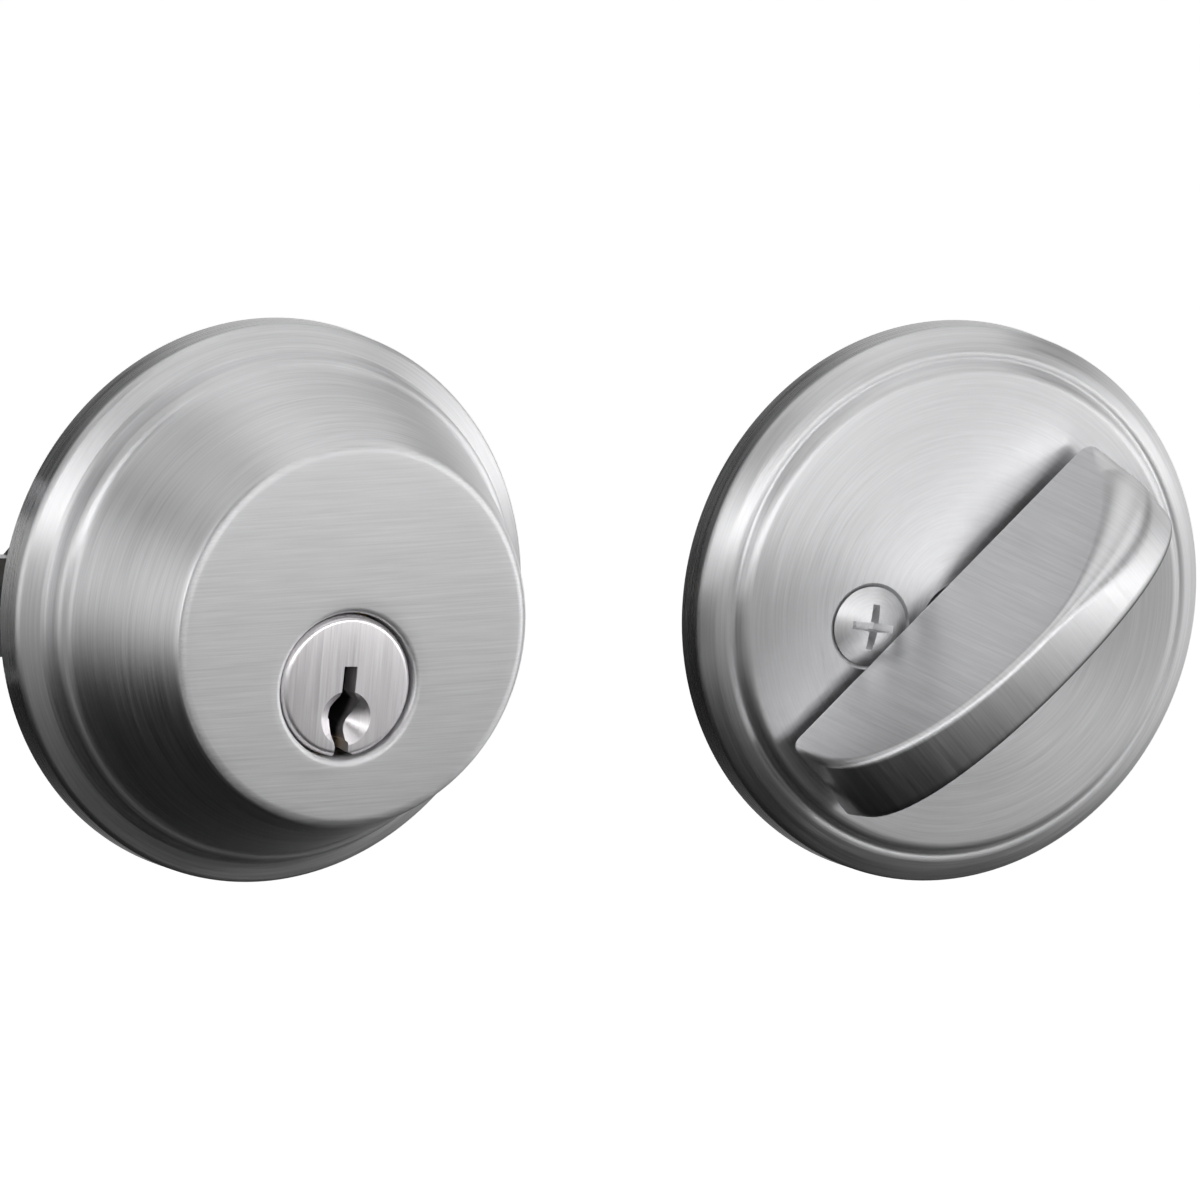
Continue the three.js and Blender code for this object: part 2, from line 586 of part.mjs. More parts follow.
// Spindle pressed in the thumbturn, slotted behind for the tailpiece and grooved for the clip.
const CLIP = { front: 4.5, back: 3.7, groove: 3.4 };
function turnSpindle() {
  const { radius, front, back } = SPINDLE;
  const shaft = turned(
    [
      [0, -back], [radius, -back], [radius, CLIP.back - 0.1], [CLIP.groove, CLIP.back - 0.1],
      [CLIP.groove, CLIP.front + 0.1], [radius, CLIP.front + 0.1], [radius, front], [0, front],
    ],
    24,
  );
  const [w, h] = TAILPIECE.half;
  const slot = box(-w - 0.2, w + 0.2, -8, 9, -h - 0.2, h + 0.2).rotate([0, -45, 0]);
  return cut(shaft, slot).translate([0, 0, -TURN_DROP]);
}
add("turn_spindle", turnSpindle(), STEEL, interior);

function retainingClip() {
  const ring = sector(CLIP.groove + 0.1, 6.4, -Math.PI / 4, THREE.MathUtils.degToRad(290));
  return slabY(ring, -CLIP.front, -CLIP.back, 20).translate([0, 0, -TURN_DROP]);
}
add("retaining_clip", retainingClip(), SPRING_STEEL, interior);

// Wave washer between the rose and the clip.
function waveWasher() {
  const [inner, outer, amplitude, waves] = [4.6, 8.2, 0.08, 3];
  const ring = new THREE.LatheGeometry(
    [[inner, 4.85], [outer, 4.85], [outer, 5.1], [inner, 5.1], [inner, 4.85]]
      .map(([r, depth]) => new THREE.Vector2(r, -depth)),
    36,
  );
  const at = ring.attributes.position;
  for (let i = 0; i < at.count; i++) {
    at.setY(i, at.getY(i) + amplitude * Math.cos(waves * Math.atan2(at.getZ(i), at.getX(i))));
  }
  return solid(ring.translate(0, 0, -TURN_DROP));
}
add("wave_washer", waveWasher(), SPRING_STEEL, interior);

// Oval-head machine screw with a cross recess.
function mountingScrew(side) {
  const { radius, rise, cone } = OVAL_HEAD;
  const head = PLATE_DEPTH;
  const body = turned(
    [
      [0, -SCREW.end], [SCREW.radius - 0.3, -SCREW.end], [SCREW.radius, 0.5 - SCREW.end],
      [SCREW.radius, head - cone - 0.4], [radius, head - 0.1],
      [radius * 0.86, head + rise * 0.45], [radius * 0.5, head + rise * 0.86], [0, head + rise],
    ],
    24,
  );
  const top = -(head + rise);
  const cross = join(
    box(-2.4, 2.4, top - 1, top + 1.5, -0.45, 0.45),
    box(-0.45, 0.45, top - 1, top + 1.5, -2.4, 2.4),
  );
  return cut(body, cross).translate([side * POST_SPREAD, 0, -TURN_DROP]);
}
add("mounting_screw_left", mountingScrew(-1), SATIN, interior);
add("mounting_screw_right", mountingScrew(1), SATIN, interior);

export default part;
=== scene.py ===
import math

import bmesh
import bpy
from mathutils import Matrix, Vector

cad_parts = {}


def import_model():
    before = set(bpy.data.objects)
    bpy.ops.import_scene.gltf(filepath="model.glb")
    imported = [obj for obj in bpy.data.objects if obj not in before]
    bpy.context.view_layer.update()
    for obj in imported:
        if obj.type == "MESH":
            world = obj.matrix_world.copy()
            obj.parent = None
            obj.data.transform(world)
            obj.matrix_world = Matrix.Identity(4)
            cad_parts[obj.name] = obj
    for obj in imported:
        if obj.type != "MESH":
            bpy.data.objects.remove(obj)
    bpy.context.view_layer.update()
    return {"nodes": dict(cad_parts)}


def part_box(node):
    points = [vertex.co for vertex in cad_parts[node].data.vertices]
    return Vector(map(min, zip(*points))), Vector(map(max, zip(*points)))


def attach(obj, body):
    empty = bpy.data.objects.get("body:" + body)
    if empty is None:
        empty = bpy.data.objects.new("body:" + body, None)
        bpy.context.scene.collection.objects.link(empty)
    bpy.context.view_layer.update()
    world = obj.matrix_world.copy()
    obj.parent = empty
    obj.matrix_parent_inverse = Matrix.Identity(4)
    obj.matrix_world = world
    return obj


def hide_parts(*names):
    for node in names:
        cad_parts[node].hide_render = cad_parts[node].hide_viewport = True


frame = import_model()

MM = 0.001
NODES = frame["nodes"]


def middle(node):
    """Centre of a CAD node's box, in millimetres."""
    low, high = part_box(node)
    return (low + high) / 2 / MM


def extent(node):
    """Lowest and highest corner of a CAD node's box, in millimetres."""
    low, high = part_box(node)
    return low / MM, high / MM


# ---- Places and sizes, in millimetres, from the frame ----

EXT_X = middle("exterior_housing").x
INT_X = middle("interior_rose").x
PLUG_Z = middle("plug_retainer").z
TURN_Z = middle("turn_spindle").z
SCREW_X = [middle("mounting_screw_left").x, middle("mounting_screw_right").x]
POST_X = [middle("threaded_post_left").x, middle("threaded_post_right").x]
BOLT_Y = middle("bolt").y
HOUSING_DEPTH = -extent("exterior_housing")[0].y
PLATE_DEPTH = -extent("interior_rose")[0].y
PLUG_DEPTH = -extent("key_plug")[0].y
PLUG_AT = (EXT_X, 0, PLUG_Z)
TURN_AT = (INT_X, 0, TURN_Z)
ROSE_RADIUS = 32.5
PLUG_RADIUS = 8.2
COLLAR_RADIUS, HUB_HOLE = 4.9, 5.2  # of the thumbturn, and of the rose round it
SCREW_RISE, SCREW_HEAD = 1.0, 4.65  # height and radius of the oval screw heads
FINE = 2  # multiplies the segments of the large turned pieces


# ---- Meshes ----

def mesh_object(name, verts, faces):
    """A mesh object from points in millimetres."""
    mesh = bpy.data.meshes.new(name)
    mesh.from_pydata([Vector(v) * MM for v in verts], [], faces)
    obj = bpy.data.objects.new(name, mesh)
    bpy.context.scene.collection.objects.link(obj)
    edit(obj, lambda bm: bmesh.ops.recalc_face_normals(bm, faces=bm.faces))
    return obj


def edit(obj, change):
    """Lets a function change the piece's mesh."""
    bm = bmesh.new()
    bm.from_mesh(obj.data)
    change(bm)
    bm.to_mesh(obj.data)
    bm.free()
    return obj


def arc_corners(points, steps=6):
    """Points (a, b, radius) with each corner of nonzero radius turned into an arc."""
    out = []
    for i, (a, b, radius) in enumerate(points):
        here = Vector((a, b))
        if not radius:
            out.append((a, b))
            continue
        before = Vector(points[i - 1][:2])
        after = Vector(points[(i + 1) % len(points)][:2])
        u, v = (before - here).normalized(), (after - here).normalized()
        angle = u.angle(v)
        reach = radius / math.tan(angle / 2)
        reach = min(reach, 0.49 * (before - here).length, 0.49 * (after - here).length)
        centre = here + (u + v).normalized() * (reach / math.cos(angle / 2))
        start, end = here + u * reach - centre, here + v * reach - centre
        sweep = start.angle(end)
        turn = 1 if start.x * end.y - start.y * end.x > 0 else -1
        for k in range(steps + 1):
            t = turn * sweep * k / steps
            c, s = math.cos(t), math.sin(t)
            out.append((centre.x + c * start.x - s * start.y, centre.y + s * start.x + c * start.y))
    return out


def rings(name, loop, segments, x=0):
    """A closed tube of rings about Y, each (radius, depth, centre z)."""
    verts, faces = [], []
    for radius, depth, cz in loop:
        for k in range(segments):
            t = 2 * math.pi * k / segments
            verts.append((x + radius * math.cos(t), -depth, cz + radius * math.sin(t)))
    for i in range(len(loop)):
        faces += strip(i * segments, (i + 1) % len(loop) * segments, segments)
    return mesh_object(name, verts, faces)


def strip(first, second, n):
    """Faces between two loops of n points, each given by the index of its first point."""
    return [(first + k, first + (k + 1) % n, second + (k + 1) % n, second + k) for k in range(n)]


def between(start, end, depth, steps):
    """The rings at one depth between two (radius, centre z), without these two."""
    (r0, z0), (r1, z1) = start, end
    return [(r0 + (r1 - r0) * k / steps, depth, z0 + (z1 - z0) * k / steps) for k in range(1, steps)]


def turned(name, profile, segments=64, at=(0, 0, 0), axis="y"):
    """A solid of revolution from (radius, height) pairs that start and end on the axis.

    Height is counted from the place towards -Y, +X or +Z.
    """
    place = {
        "y": lambda a, b, h: (at[0] + a, at[1] - h, at[2] + b),
        "x": lambda a, b, h: (at[0] + h, at[1] + a, at[2] + b),
        "z": lambda a, b, h: (at[0] + a, at[1] + b, at[2] + h),
    }[axis]
    verts, faces, index = [], [], []
    for radius, height in profile:
        count = 1 if radius < 1e-6 else segments
        index.append([len(verts) + k for k in range(count)])
        for k in range(count):
            t = 2 * math.pi * k / segments
            verts.append(place(radius * math.cos(t), radius * math.sin(t), height))
    for a, b in zip(index, index[1:]):
        for k in range(segments):
            m = (k + 1) % segments
            if len(a) == 1 and len(b) > 1:
                faces.append((a[0], b[m], b[k]))
            elif len(b) == 1 and len(a) > 1:
                faces.append((a[k], a[m], b[0]))
            elif len(a) > 1:
                faces.append((a[k], a[m], b[m], b[k]))
    return mesh_object(name, verts, faces)


def bar(name, radius, low, high, at=(0, 0, 0), axis="y", segments=64, chamfer=0.0):
    """A round bar from low to high along its axis, both counted from its place."""
    if axis == "y":
        low, high = -high, -low
    side = [(radius, low), (radius, high)]
    if chamfer:
        c = chamfer
        side = [(radius - c, low), (radius, low + c), (radius, high - c), (radius - c, high)]
    return turned(name, [(0, low), *side, (0, high)], segments, at, axis)


def loft(name, sections):
    """A capped skin over sections with the same number of points."""
    n = len(sections[0])
    verts = [p for section in sections for p in section]
    faces = [tuple(range(n)), tuple(range(len(verts) - 1, len(verts) - n - 1, -1))]
    for i in range(len(sections) - 1):
        faces += strip(i * n, (i + 1) * n, n)
    return mesh_object(name, verts, faces)


def prism(name, outline, low, high, plane="xz"):
    """An outline in the XZ plane from y=low to high, or in the YZ plane from x=low to high."""
    place = (lambda a, b, h: (a, h, b)) if plane == "xz" else (lambda a, b, h: (h, a, b))
    return loft(name, [[place(a, b, h) for a, b in outline] for h in (low, high)])


def block(name, x0, x1, y0, y1, z0, z1):
    return prism(name, [(x0, z0), (x1, z0), (x1, z1), (x0, z1)], y0, y1)


def rounded(a, b, corner, ca=0, cb=0, steps=8):
    """A rectangle round (ca, cb), of half sizes a and b, with its corners rounded."""
    corners = [(ca + u * a, cb + v * b, corner) for u, v in ((-1, -1), (1, -1), (1, 1), (-1, 1))]
    return arc_corners(corners, steps)


def turn_y(obj, degrees, x=0, z=0):
    """Turns the mesh about the Y axis through (x, z)."""
    at = Vector((x * MM, 0, z * MM))
    spin = Matrix.Rotation(math.radians(degrees), 4, "Y")
    obj.data.transform(Matrix.Translation(at) @ spin @ Matrix.Translation(-at))
    return obj


def combine(obj, others, operation):
    """Cuts the others from the piece or joins them to it, and removes them."""
    for other in others:
        step = obj.modifiers.new(operation, "BOOLEAN")
        step.operation, step.object, step.solver = operation, other, "MANIFOLD"
    graph = bpy.context.evaluated_depsgraph_get()
    made = bpy.data.meshes.new_from_object(obj.evaluated_get(graph), depsgraph=graph)
    obj.modifiers.clear()
    obj.data = made
    for other in others:
        bpy.data.objects.remove(other)
    return edit(obj, tidy_mesh)


def cut(obj, *others):
    return combine(obj, others, "DIFFERENCE")


def join(obj, *others):
    return combine(obj, others, "UNION")


def tidy_mesh(bm):
    bmesh.ops.remove_doubles(bm, verts=bm.verts, dist=2e-6)
    bmesh.ops.dissolve_degenerate(bm, edges=bm.edges, dist=1e-6)


def smooth(obj, degrees=28):
    """Smooth shading with every edge sharper than the angle kept crisp."""
    limit = math.radians(degrees)

    def mark(bm):
        for face in bm.faces:
            face.smooth = True
        for edge in bm.edges:
            edge.smooth = len(edge.link_faces) == 2 and edge.calc_face_angle(math.pi) < limit

    return edit(obj, mark)


def soften(obj, width, segments=2, degrees=35):
    """Rounds the sharp edges by the width in millimetres."""
    bevel = obj.modifiers.new("edges", "BEVEL")
    bevel.width, bevel.segments = width * MM, segments
    bevel.limit_method, bevel.angle_limit = "ANGLE", math.radians(degrees)
    bevel.harden_normals = True
    bevel.use_clamp_overlap = True
    return obj


# ---- Materials ----

class Graph:
    """Short names for making shader nodes."""

    def __init__(self, tree):
        self.tree = tree

    def node(self, kind, **settings):
        made = self.tree.nodes.new(kind)
        for key, value in settings.items():
            setattr(made, key, value)
        return made

    def feed(self, socket, value):
        if isinstance(value, bpy.types.NodeSocket):
            self.tree.links.new(value, socket)
        else:
            socket.default_value = value

    def math(self, operation, *values):
        made = self.node("ShaderNodeMath", operation=operation)
        for socket, value in zip(made.inputs, values):
            self.feed(socket, value)
        return made.outputs[0]

    def vector(self, operation, *values):
        made = self.node("ShaderNodeVectorMath", operation=operation)
        for socket, value in zip(made.inputs, values):
            self.feed(socket, value)
        return made.outputs["Value" if operation in ("DOT_PRODUCT", "LENGTH") else "Vector"]

    def combine(self, *values):
        made = self.node("ShaderNodeCombineXYZ")
        for socket, value in zip(made.inputs, values):
            self.feed(socket, value)
        return made.outputs[0]

    def ramp(self, value, low, high, to_low=0.0, to_high=1.0):
        """A smooth step from to_low, where the value is low, to to_high."""
        made = self.node("ShaderNodeMapRange", interpolation_type="SMOOTHSTEP")
        for socket, item in zip(made.inputs, (value, low, high, to_low, to_high)):
            self.feed(socket, item)
        return made.outputs[0]

    def noise(self, vector, scale=1.0, detail=2.0, roughness=0.55):
        made = self.node("ShaderNodeTexNoise", normalize=True)
        self.feed(made.inputs["Vector"], vector)
        made.inputs["Scale"].default_value = scale
        made.inputs["Detail"].default_value = detail
        made.inputs["Roughness"].default_value = roughness
        return made.outputs["Fac"]

    def mix(self, factor, a, b):
        """Blends two numbers."""
        made = self.node("ShaderNodeMix", data_type="FLOAT")
        self.feed(made.inputs[0], factor)
        self.feed(made.inputs[2], a)
        self.feed(made.inputs[3], b)
        return made.outputs[0]

    def mix_vector(self, factor, a, b):
        made = self.node("ShaderNodeMix", data_type="VECTOR")
        self.feed(made.inputs[0], factor)
        self.feed(made.inputs[4], a)
        self.feed(made.inputs[5], b)
        return made.outputs[1]

    def tint(self, color, shade):
        """A colour times a number."""
        made = self.vector("SCALE", color)
        self.feed(made.node.inputs["Scale"], shade)
        return made


# The fine and the broad streaks: how many per metre across them, per metre along straight ones
# and per radian round a circle, and the detail of their noise.
STREAKS = (4000.0, 95.0, 2.6, 2.0), (1250.0, 22.0, 1.1, 3.0)
CLIMB = 0.7  # what depth counts against radius across round streaks


def stretched(g, place, axis, on_axis, off_axis):
    """The place scaled by on_axis along a unit vector in the XZ plane and by off_axis across it."""
    side = axis.cross(Vector((0, 1, 0))).normalized()
    parts = (axis, on_axis), (side, off_axis), (axis.cross(side), off_axis)
    return g.combine(*[g.vector("DOT_PRODUCT", place, tuple(way * scale)) for way, scale in parts])


def streaks(g, kind, place, spec):
    """(fine, broad) streak noises, 0 to 1, and the scratch direction.

    "straight" runs along a vector, "hoop" lies in the planes square to a vector, and "round" runs
    round the Y axis through (x, z).
    """
    if kind == "round":
        x, z = spec
        local = g.vector("SUBTRACT", place, (x * MM, 0, z * MM))
        flat = g.vector("MULTIPLY", local, (1, 0, 1))
        unit = g.vector("NORMALIZE", flat)
        climb = g.math("ADD", g.vector("LENGTH", flat), g.vector("DOT_PRODUCT", local, (0, CLIMB, 0)))
        noises = []
        for across, _, bend, detail in STREAKS:
            lift = g.combine(0.0, g.math("MULTIPLY", climb, across), 0.0)
            bent = g.vector("ADD", g.vector("MULTIPLY", unit, (bend, 0, bend)), lift)
            noises.append(g.noise(bent, 1.0, detail))
        return *noises, g.vector("CROSS_PRODUCT", unit, (0, 1, 0))
    axis = Vector(spec).normalized()
    noises = []
    for across, along, _, detail in STREAKS:
        scales = (along, across) if kind == "straight" else (across, along)
        noises.append(g.noise(stretched(g, place, axis, *scales), 1.0, detail))
    if kind == "straight":
        return *noises, tuple(axis)
    normal = g.node("ShaderNodeTexCoord").outputs["Normal"]
    return *noises, g.vector("CROSS_PRODUCT", tuple(axis), normal)


LEAST_ROUGH = 0.05


def start_metal(name):
    """A new material, its graph, its shader and the place on the piece."""
    material = bpy.data.materials.new(name)
    material.use_nodes = True
    g = Graph(material.node_tree)
    shader = material.node_tree.nodes["Principled BSDF"]
    shader.inputs["Metallic"].default_value = 1.0
    return material, g, shader, g.node("ShaderNodeTexCoord").outputs["Object"]


def set_surface(g, shader, tint, rough, height, strength, distance):
    """Feeds the shader its colour, its roughness and a relief of the given distance in metres."""
    g.feed(shader.inputs["Base Color"], tint)
    g.feed(shader.inputs["Roughness"], g.math("MAXIMUM", rough, LEAST_ROUGH))
    relief = g.node("ShaderNodeBump")
    relief.inputs["Strength"].default_value = strength
    relief.inputs["Distance"].default_value = distance
    g.feed(relief.inputs["Height"], height)
    g.feed(shader.inputs["Normal"], relief.outputs[0])


# The range of shade that the fine streaks, the broad ones and the clouds cover, and the range
# of roughness that the two kinds of streaks cover.
FINE_SHADE, BROAD_SHADE, CLOUD_SHADE = 0.34, 0.119, 0.05
FINE_ROUGH, BROAD_ROUGH = 0.2, 0.14
SCRATCH_STRENGTH, SCRATCH_DEPTH = 0.2, 0.00004
WALL_SMOOTH = 0.65  # roughness of a rim's side against that of the rest


def metal(name, color, roughness, grain, spec, aniso, swap=None, painted_shade=None, wall=None):
    """A brushed or machined metal.

    swap is (mask function, second grain, second spec) for a piece brushed two ways. The next
    argument is a function that multiplies the colour: painted shade inside the keyway or the bore.
    wall is a mask function for the side of a rim, which is polished smoother than the rest.
    """
    material, g, shader, place = start_metal(name)
    fine, broad, direction = streaks(g, grain, place, spec)
    if swap:
        mask_of, grain2, spec2 = swap
        mask = mask_of(g, place)
        fine2, broad2, direction2 = streaks(g, grain2, place, spec2)
        fine, broad = g.mix(mask, fine, fine2), g.mix(mask, broad, broad2)
        direction = g.mix_vector(mask, direction, direction2)
    shade = 1 - (FINE_SHADE + BROAD_SHADE + CLOUD_SHADE) / 2
    cloud = g.noise(place, 90.0, 3.0)
    for noise, share in (fine, FINE_SHADE), (broad, BROAD_SHADE), (cloud, CLOUD_SHADE):
        shade = g.math("MULTIPLY_ADD", noise, share, shade)
    # Painted shade: the colour is darkened inside the keyway or the bore, where shadow falls.
    if painted_shade:
        shade = g.math("MULTIPLY", shade, painted_shade(g, place))
    rough = g.math("MULTIPLY_ADD", g.math("SUBTRACT", broad, 0.5), BROAD_ROUGH, roughness)
    rough = g.math("MULTIPLY_ADD", g.math("SUBTRACT", fine, 0.5), FINE_ROUGH, rough)
    if wall:
        rough = g.mix(wall(g, place), rough, g.math("MULTIPLY", rough, WALL_SMOOTH))
    set_surface(g, shader, g.tint(color, shade), rough, fine, SCRATCH_STRENGTH, SCRATCH_DEPTH)
    shader.inputs["Anisotropic"].default_value = aniso
    shader.inputs["Anisotropic Rotation"].default_value = 0.25  # the highlight lies across the tangent
    turn = g.node("ShaderNodeVectorTransform", vector_type="VECTOR",
                  convert_from="OBJECT", convert_to="WORLD")
    g.feed(turn.inputs[0], direction)
    g.feed(shader.inputs["Tangent"], turn.outputs[0])
    return material


SPECK_SHADE, STAIN_SHADE, STAIN_ROUGH = 0.16, 0.22, 0.3  # the same ranges, for cast metal
SPECK_DEPTH = 0.00005


def cast_metal(name, color, roughness, grain=2600.0, bump=0.25):
    """Plated, cast or drawn metal with a fine even texture and faint stains."""
    material, g, shader, place = start_metal(name)
    speck = g.noise(place, grain, 3.0)
    stain = g.noise(place, 110.0, 4.0, 0.6)
    shade = 1 - (SPECK_SHADE + STAIN_SHADE) / 2
    for noise, share in (speck, SPECK_SHADE), (stain, STAIN_SHADE):
        shade = g.math("MULTIPLY_ADD", noise, share, shade)
    rough = g.math("MULTIPLY_ADD", g.math("SUBTRACT", stain, 0.5), STAIN_ROUGH, roughness)
    set_surface(g, shader, g.tint(color, shade), rough, speck, bump, SPECK_DEPTH)
    return material


def depth_ramp(low, high, to_low=0.0, to_high=1.0):
    """A mask function that goes from to_low to to_high between two depths in front of the door."""
    def mask(g, place):
        depth = g.vector("DOT_PRODUCT", place, (0, -1, 0))
        return g.ramp(depth, low * MM, high * MM, to_low, to_high)
    return mask


def bore_painted_shade(g, place):
    """Painted shade: dark inside the radius of the cylinder's bore, down to a tenth of the colour, on every
    brass piece.
    """
    radial = g.vector("MULTIPLY", g.vector("SUBTRACT", place, (EXT_X * MM, 0, PLUG_Z * MM)), (1, 0, 1))
    return g.ramp(g.vector("LENGTH", radial), 6.6 * MM, 7.2 * MM, 0.1, 1.0)


SATIN_COLOR, SATIN_ROUGH = (0.80, 0.80, 0.81), 0.42
SPUN = 0.85  # anisotropy of the two roses
RIM_WALL = depth_ramp(3.2, 4.0, 1.0, 0.0)  # both rims are about 4 mm high at the side
FRONT_FACE = depth_ramp(HOUSING_DEPTH - 0.6, HOUSING_DEPTH - 0.25)
# Painted shade: the plug's colour falls from full to 0.12 between 1.9 and 3.4 mm behind its face, in the
# keyway.
KEYWAY_PAINTED_SHADE = depth_ramp(PLUG_DEPTH - 3.4, PLUG_DEPTH - 1.9, 0.12, 1.0)
FACE_TILT = (1.0, 0.0, 0.06)  # the face's brushing climbs a little
GRIP_LINE = (1.0, 0.0, 1.0)  # the grip lies at 45 degrees at rest
MAT = {
    "housing": metal("satin_housing", SATIN_COLOR, SATIN_ROUGH, "round", (EXT_X, 0), SPUN,
                     swap=(FRONT_FACE, "straight", FACE_TILT), wall=RIM_WALL),
    "rose": metal("satin_rose", SATIN_COLOR, SATIN_ROUGH, "round", (INT_X, 0), SPUN, wall=RIM_WALL),
    "grip": metal("satin_grip", SATIN_COLOR, SATIN_ROUGH, "hoop", GRIP_LINE, 0.75),
    "plug": metal("satin_plug", (0.98, 0.95, 0.97), 0.4, "straight", (0, 0, 1), 0.5,
                  painted_shade=KEYWAY_PAINTED_SHADE),
    "screw_left": metal("turned_screw_left", SATIN_COLOR, 0.44, "round", (SCREW_X[0], TURN_Z), 0.75),
    "screw_right": metal("turned_screw_right", SATIN_COLOR, 0.44, "round", (SCREW_X[1], TURN_Z), 0.75),
    "bolt": metal("satin_bolt", SATIN_COLOR, 0.3, "straight", (1, 0, 0), 0.55),
    "edge": metal("satin_faceplate", SATIN_COLOR, 0.32, "straight", (0, 0, 1), 0.55),
    "brass": metal("turned_brass", (0.80, 0.60, 0.30), 0.26, "round", (EXT_X, PLUG_Z), 0.4,
                   painted_shade=bore_painted_shade),
    "steel_disc": metal("plated_disc", (0.58, 0.585, 0.60), 0.36, "round", (EXT_X, 0), 0.4),
    "steel": cast_metal("plated_steel", (0.56, 0.565, 0.58), 0.34),
    "spring": cast_metal("spring_wire", (0.50, 0.51, 0.53), 0.24, bump=0.1),
    "zinc": cast_metal("cast_zinc", (0.60, 0.61, 0.62), 0.46, 1500.0, 0.5),
    "stamped": cast_metal("stamped_case", (0.43, 0.43, 0.42), 0.38),
}


def finish_piece(obj, body, node, look, crisp=28):
    """Shades the piece, gives it its material and lets it stand for its CAD node."""
    smooth(obj, crisp)
    obj.data.materials.clear()
    obj.data.materials.append(MAT[look])
    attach(obj, body)
    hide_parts(node)


# ---- Exterior half ----

def exterior_housing():
    """The hollow dome, its flat face closing in from the rim of the dome to the plug's hole."""
    d = HOUSING_DEPTH
    flat, hole, edge = 20.0, 8.55, 0.75  # radii of the flat face, of the hole and of its rounded edge
    inner, hollow = d - 3.6, 20.6  # depth and radius of the flat inside
    outside = arc_corners([
        (ROSE_RADIUS, 0, 0), (32.42, 4.1, 0.9), (30.0, 5.2, 0.7), (29.5, 5.6, 0.5),
        (29.3, 8.3, 1.3), (28.1, 8.85, 1.1), (25.35, 17.0, 14), (22.2, d, 2.7), (flat, d, 0),
    ], 10)
    loop = [(r, depth, 0) for r, depth in outside]
    loop += between((flat, 0), (hole + edge, PLUG_Z), d, 10)
    for k in range(7):
        t = math.pi / 2 * k / 6
        loop.append((hole + edge - edge * math.sin(t), d - edge * (1 - math.cos(t)), PLUG_Z))
    loop.append((hole, inner, PLUG_Z))
    loop += between((hole, PLUG_Z), (hollow, 0), inner, 4)
    inside = arc_corners([
        (hollow, inner, 0), (22.7, 17.0, 2), (25.4, 9.4, 0), (27.0, 5.0, 0), (29.8, 2.0, 0.3), (29.8, 0, 0),
    ], 4)
    loop += [(r, depth, 0) for r, depth in inside]
    return rings("housing_cover", loop, 128 * FINE, EXT_X)


finish_piece(exterior_housing(), "root", "exterior_housing", "housing")

# The keyway's outline with its wards, counted from the plug's centre.
KEYWAY = [
    (-0.5, 2.3), (1.15, 2.3), (1.1, -0.8), (2.0, -1.7), (1.55, -3.2), (0.75, -4.7), (0.55, -5.3),
    (0.55, -6.3), (0.8, -6.5), (0.8, -7.5), (1.8, -8.0), (1.8, -9), (-0.95, -9), (-0.95, -7.0),
    (-1.3, -5.65), (-1.35, -4.0), (-1.6, -3.8), (-1.5, -2.5), (-0.6, -1.2),
]


def key_plug():
    back, p = -extent("key_plug")[1].y, PLUG_DEPTH
    flange = p - 4.9
    body = turned("plug_core", [
        (0, back), (5.5, back), (5.5, -6.2), (6.4, -6.2), (6.4, flange), (PLUG_RADIUS, flange),
        (PLUG_RADIUS, p - 0.55), (PLUG_RADIUS - 0.18, p - 0.25), (PLUG_RADIUS - 0.5, p - 0.04),
        (PLUG_RADIUS - 0.75, p), (0, p),
    ], 96, PLUG_AT)
    way = prism("way", arc_corners([(EXT_X + x, PLUG_Z + z, 0.08) for x, z in KEYWAY], 2), -p - 1, 5)
    sink = turned("sink", [(0, p - 1.9), (0.7, p - 1.9), (3.1, p - 0.05), (3.25, p + 0.1), (0, p + 0.1)],
                  64, (EXT_X + 0.2, 0, PLUG_Z - 3.7))
    recess = bar("recess", 4.4, 7.6, 12, PLUG_AT)
    return cut(body, way, sink, recess)


finish_piece(key_plug(), "plug", "key_plug", "plug")

# ---- Interior half ----


def interior_rose():
    """The dished plate, its middle closing in from the rim to the hole of the thumbturn."""
    d, floor_radius, wall = PLATE_DEPTH, 26.0, 2.0
    outside = arc_corners([
        (ROSE_RADIUS, 0, 0), (32.42, 3.95, 0.9), (30.9, 5.4, 2.2), (29.6, 6.05, 1.4), (28.85, 5.85, 0.9),
        (28.15, d, 2.0), (floor_radius, d, 0),
    ], 10)
    loop = [(r, depth, 0) for r, depth in outside]
    loop += between((floor_radius, 0), (HUB_HOLE, TURN_Z), d, 8)
    loop += [(HUB_HOLE, d, TURN_Z), (HUB_HOLE, d - wall, TURN_Z), (16.0, d - wall, TURN_Z * 0.5)]
    inside = arc_corners([(27.2, d - wall, 0.5), (28.4, 4.2, 0.5), (30.6, 3.2, 0.3), (30.6, 0, 0)], 4)
    loop += [(r, depth, 0) for r, depth in inside]
    rose = rings("rose_plate", loop, 128 * FINE, INT_X)
    sink = [(0, 0), (2.9, 0), (2.9, d - 2.2), (5.0, d - 0.05), (5.2, d + 0.1), (5.2, 12), (0, 12)]
    return cut(rose, *[turned("sink", sink, at=(x, 0, TURN_Z)) for x in SCREW_X])


finish_piece(interior_rose(), "root", "interior_rose", "rose")

# The grip: half its length, its height, half its width at the foot, how much of that each
# millimetre of height takes away, and the gap between the grip and the rose.
GRIP_HALF, GRIP_HEIGHT, GRIP_FOOT, GRIP_DRAFT, GRIP_GAP = 25.2, 22.0, 5.8, 0.115, 1.3
SUPPORT = 0.12  # from a rounded edge to the loop that keeps the flat side flat


def smoothstep(t):
    t = min(max(t, 0), 1)
    return t * t * (3 - 2 * t)


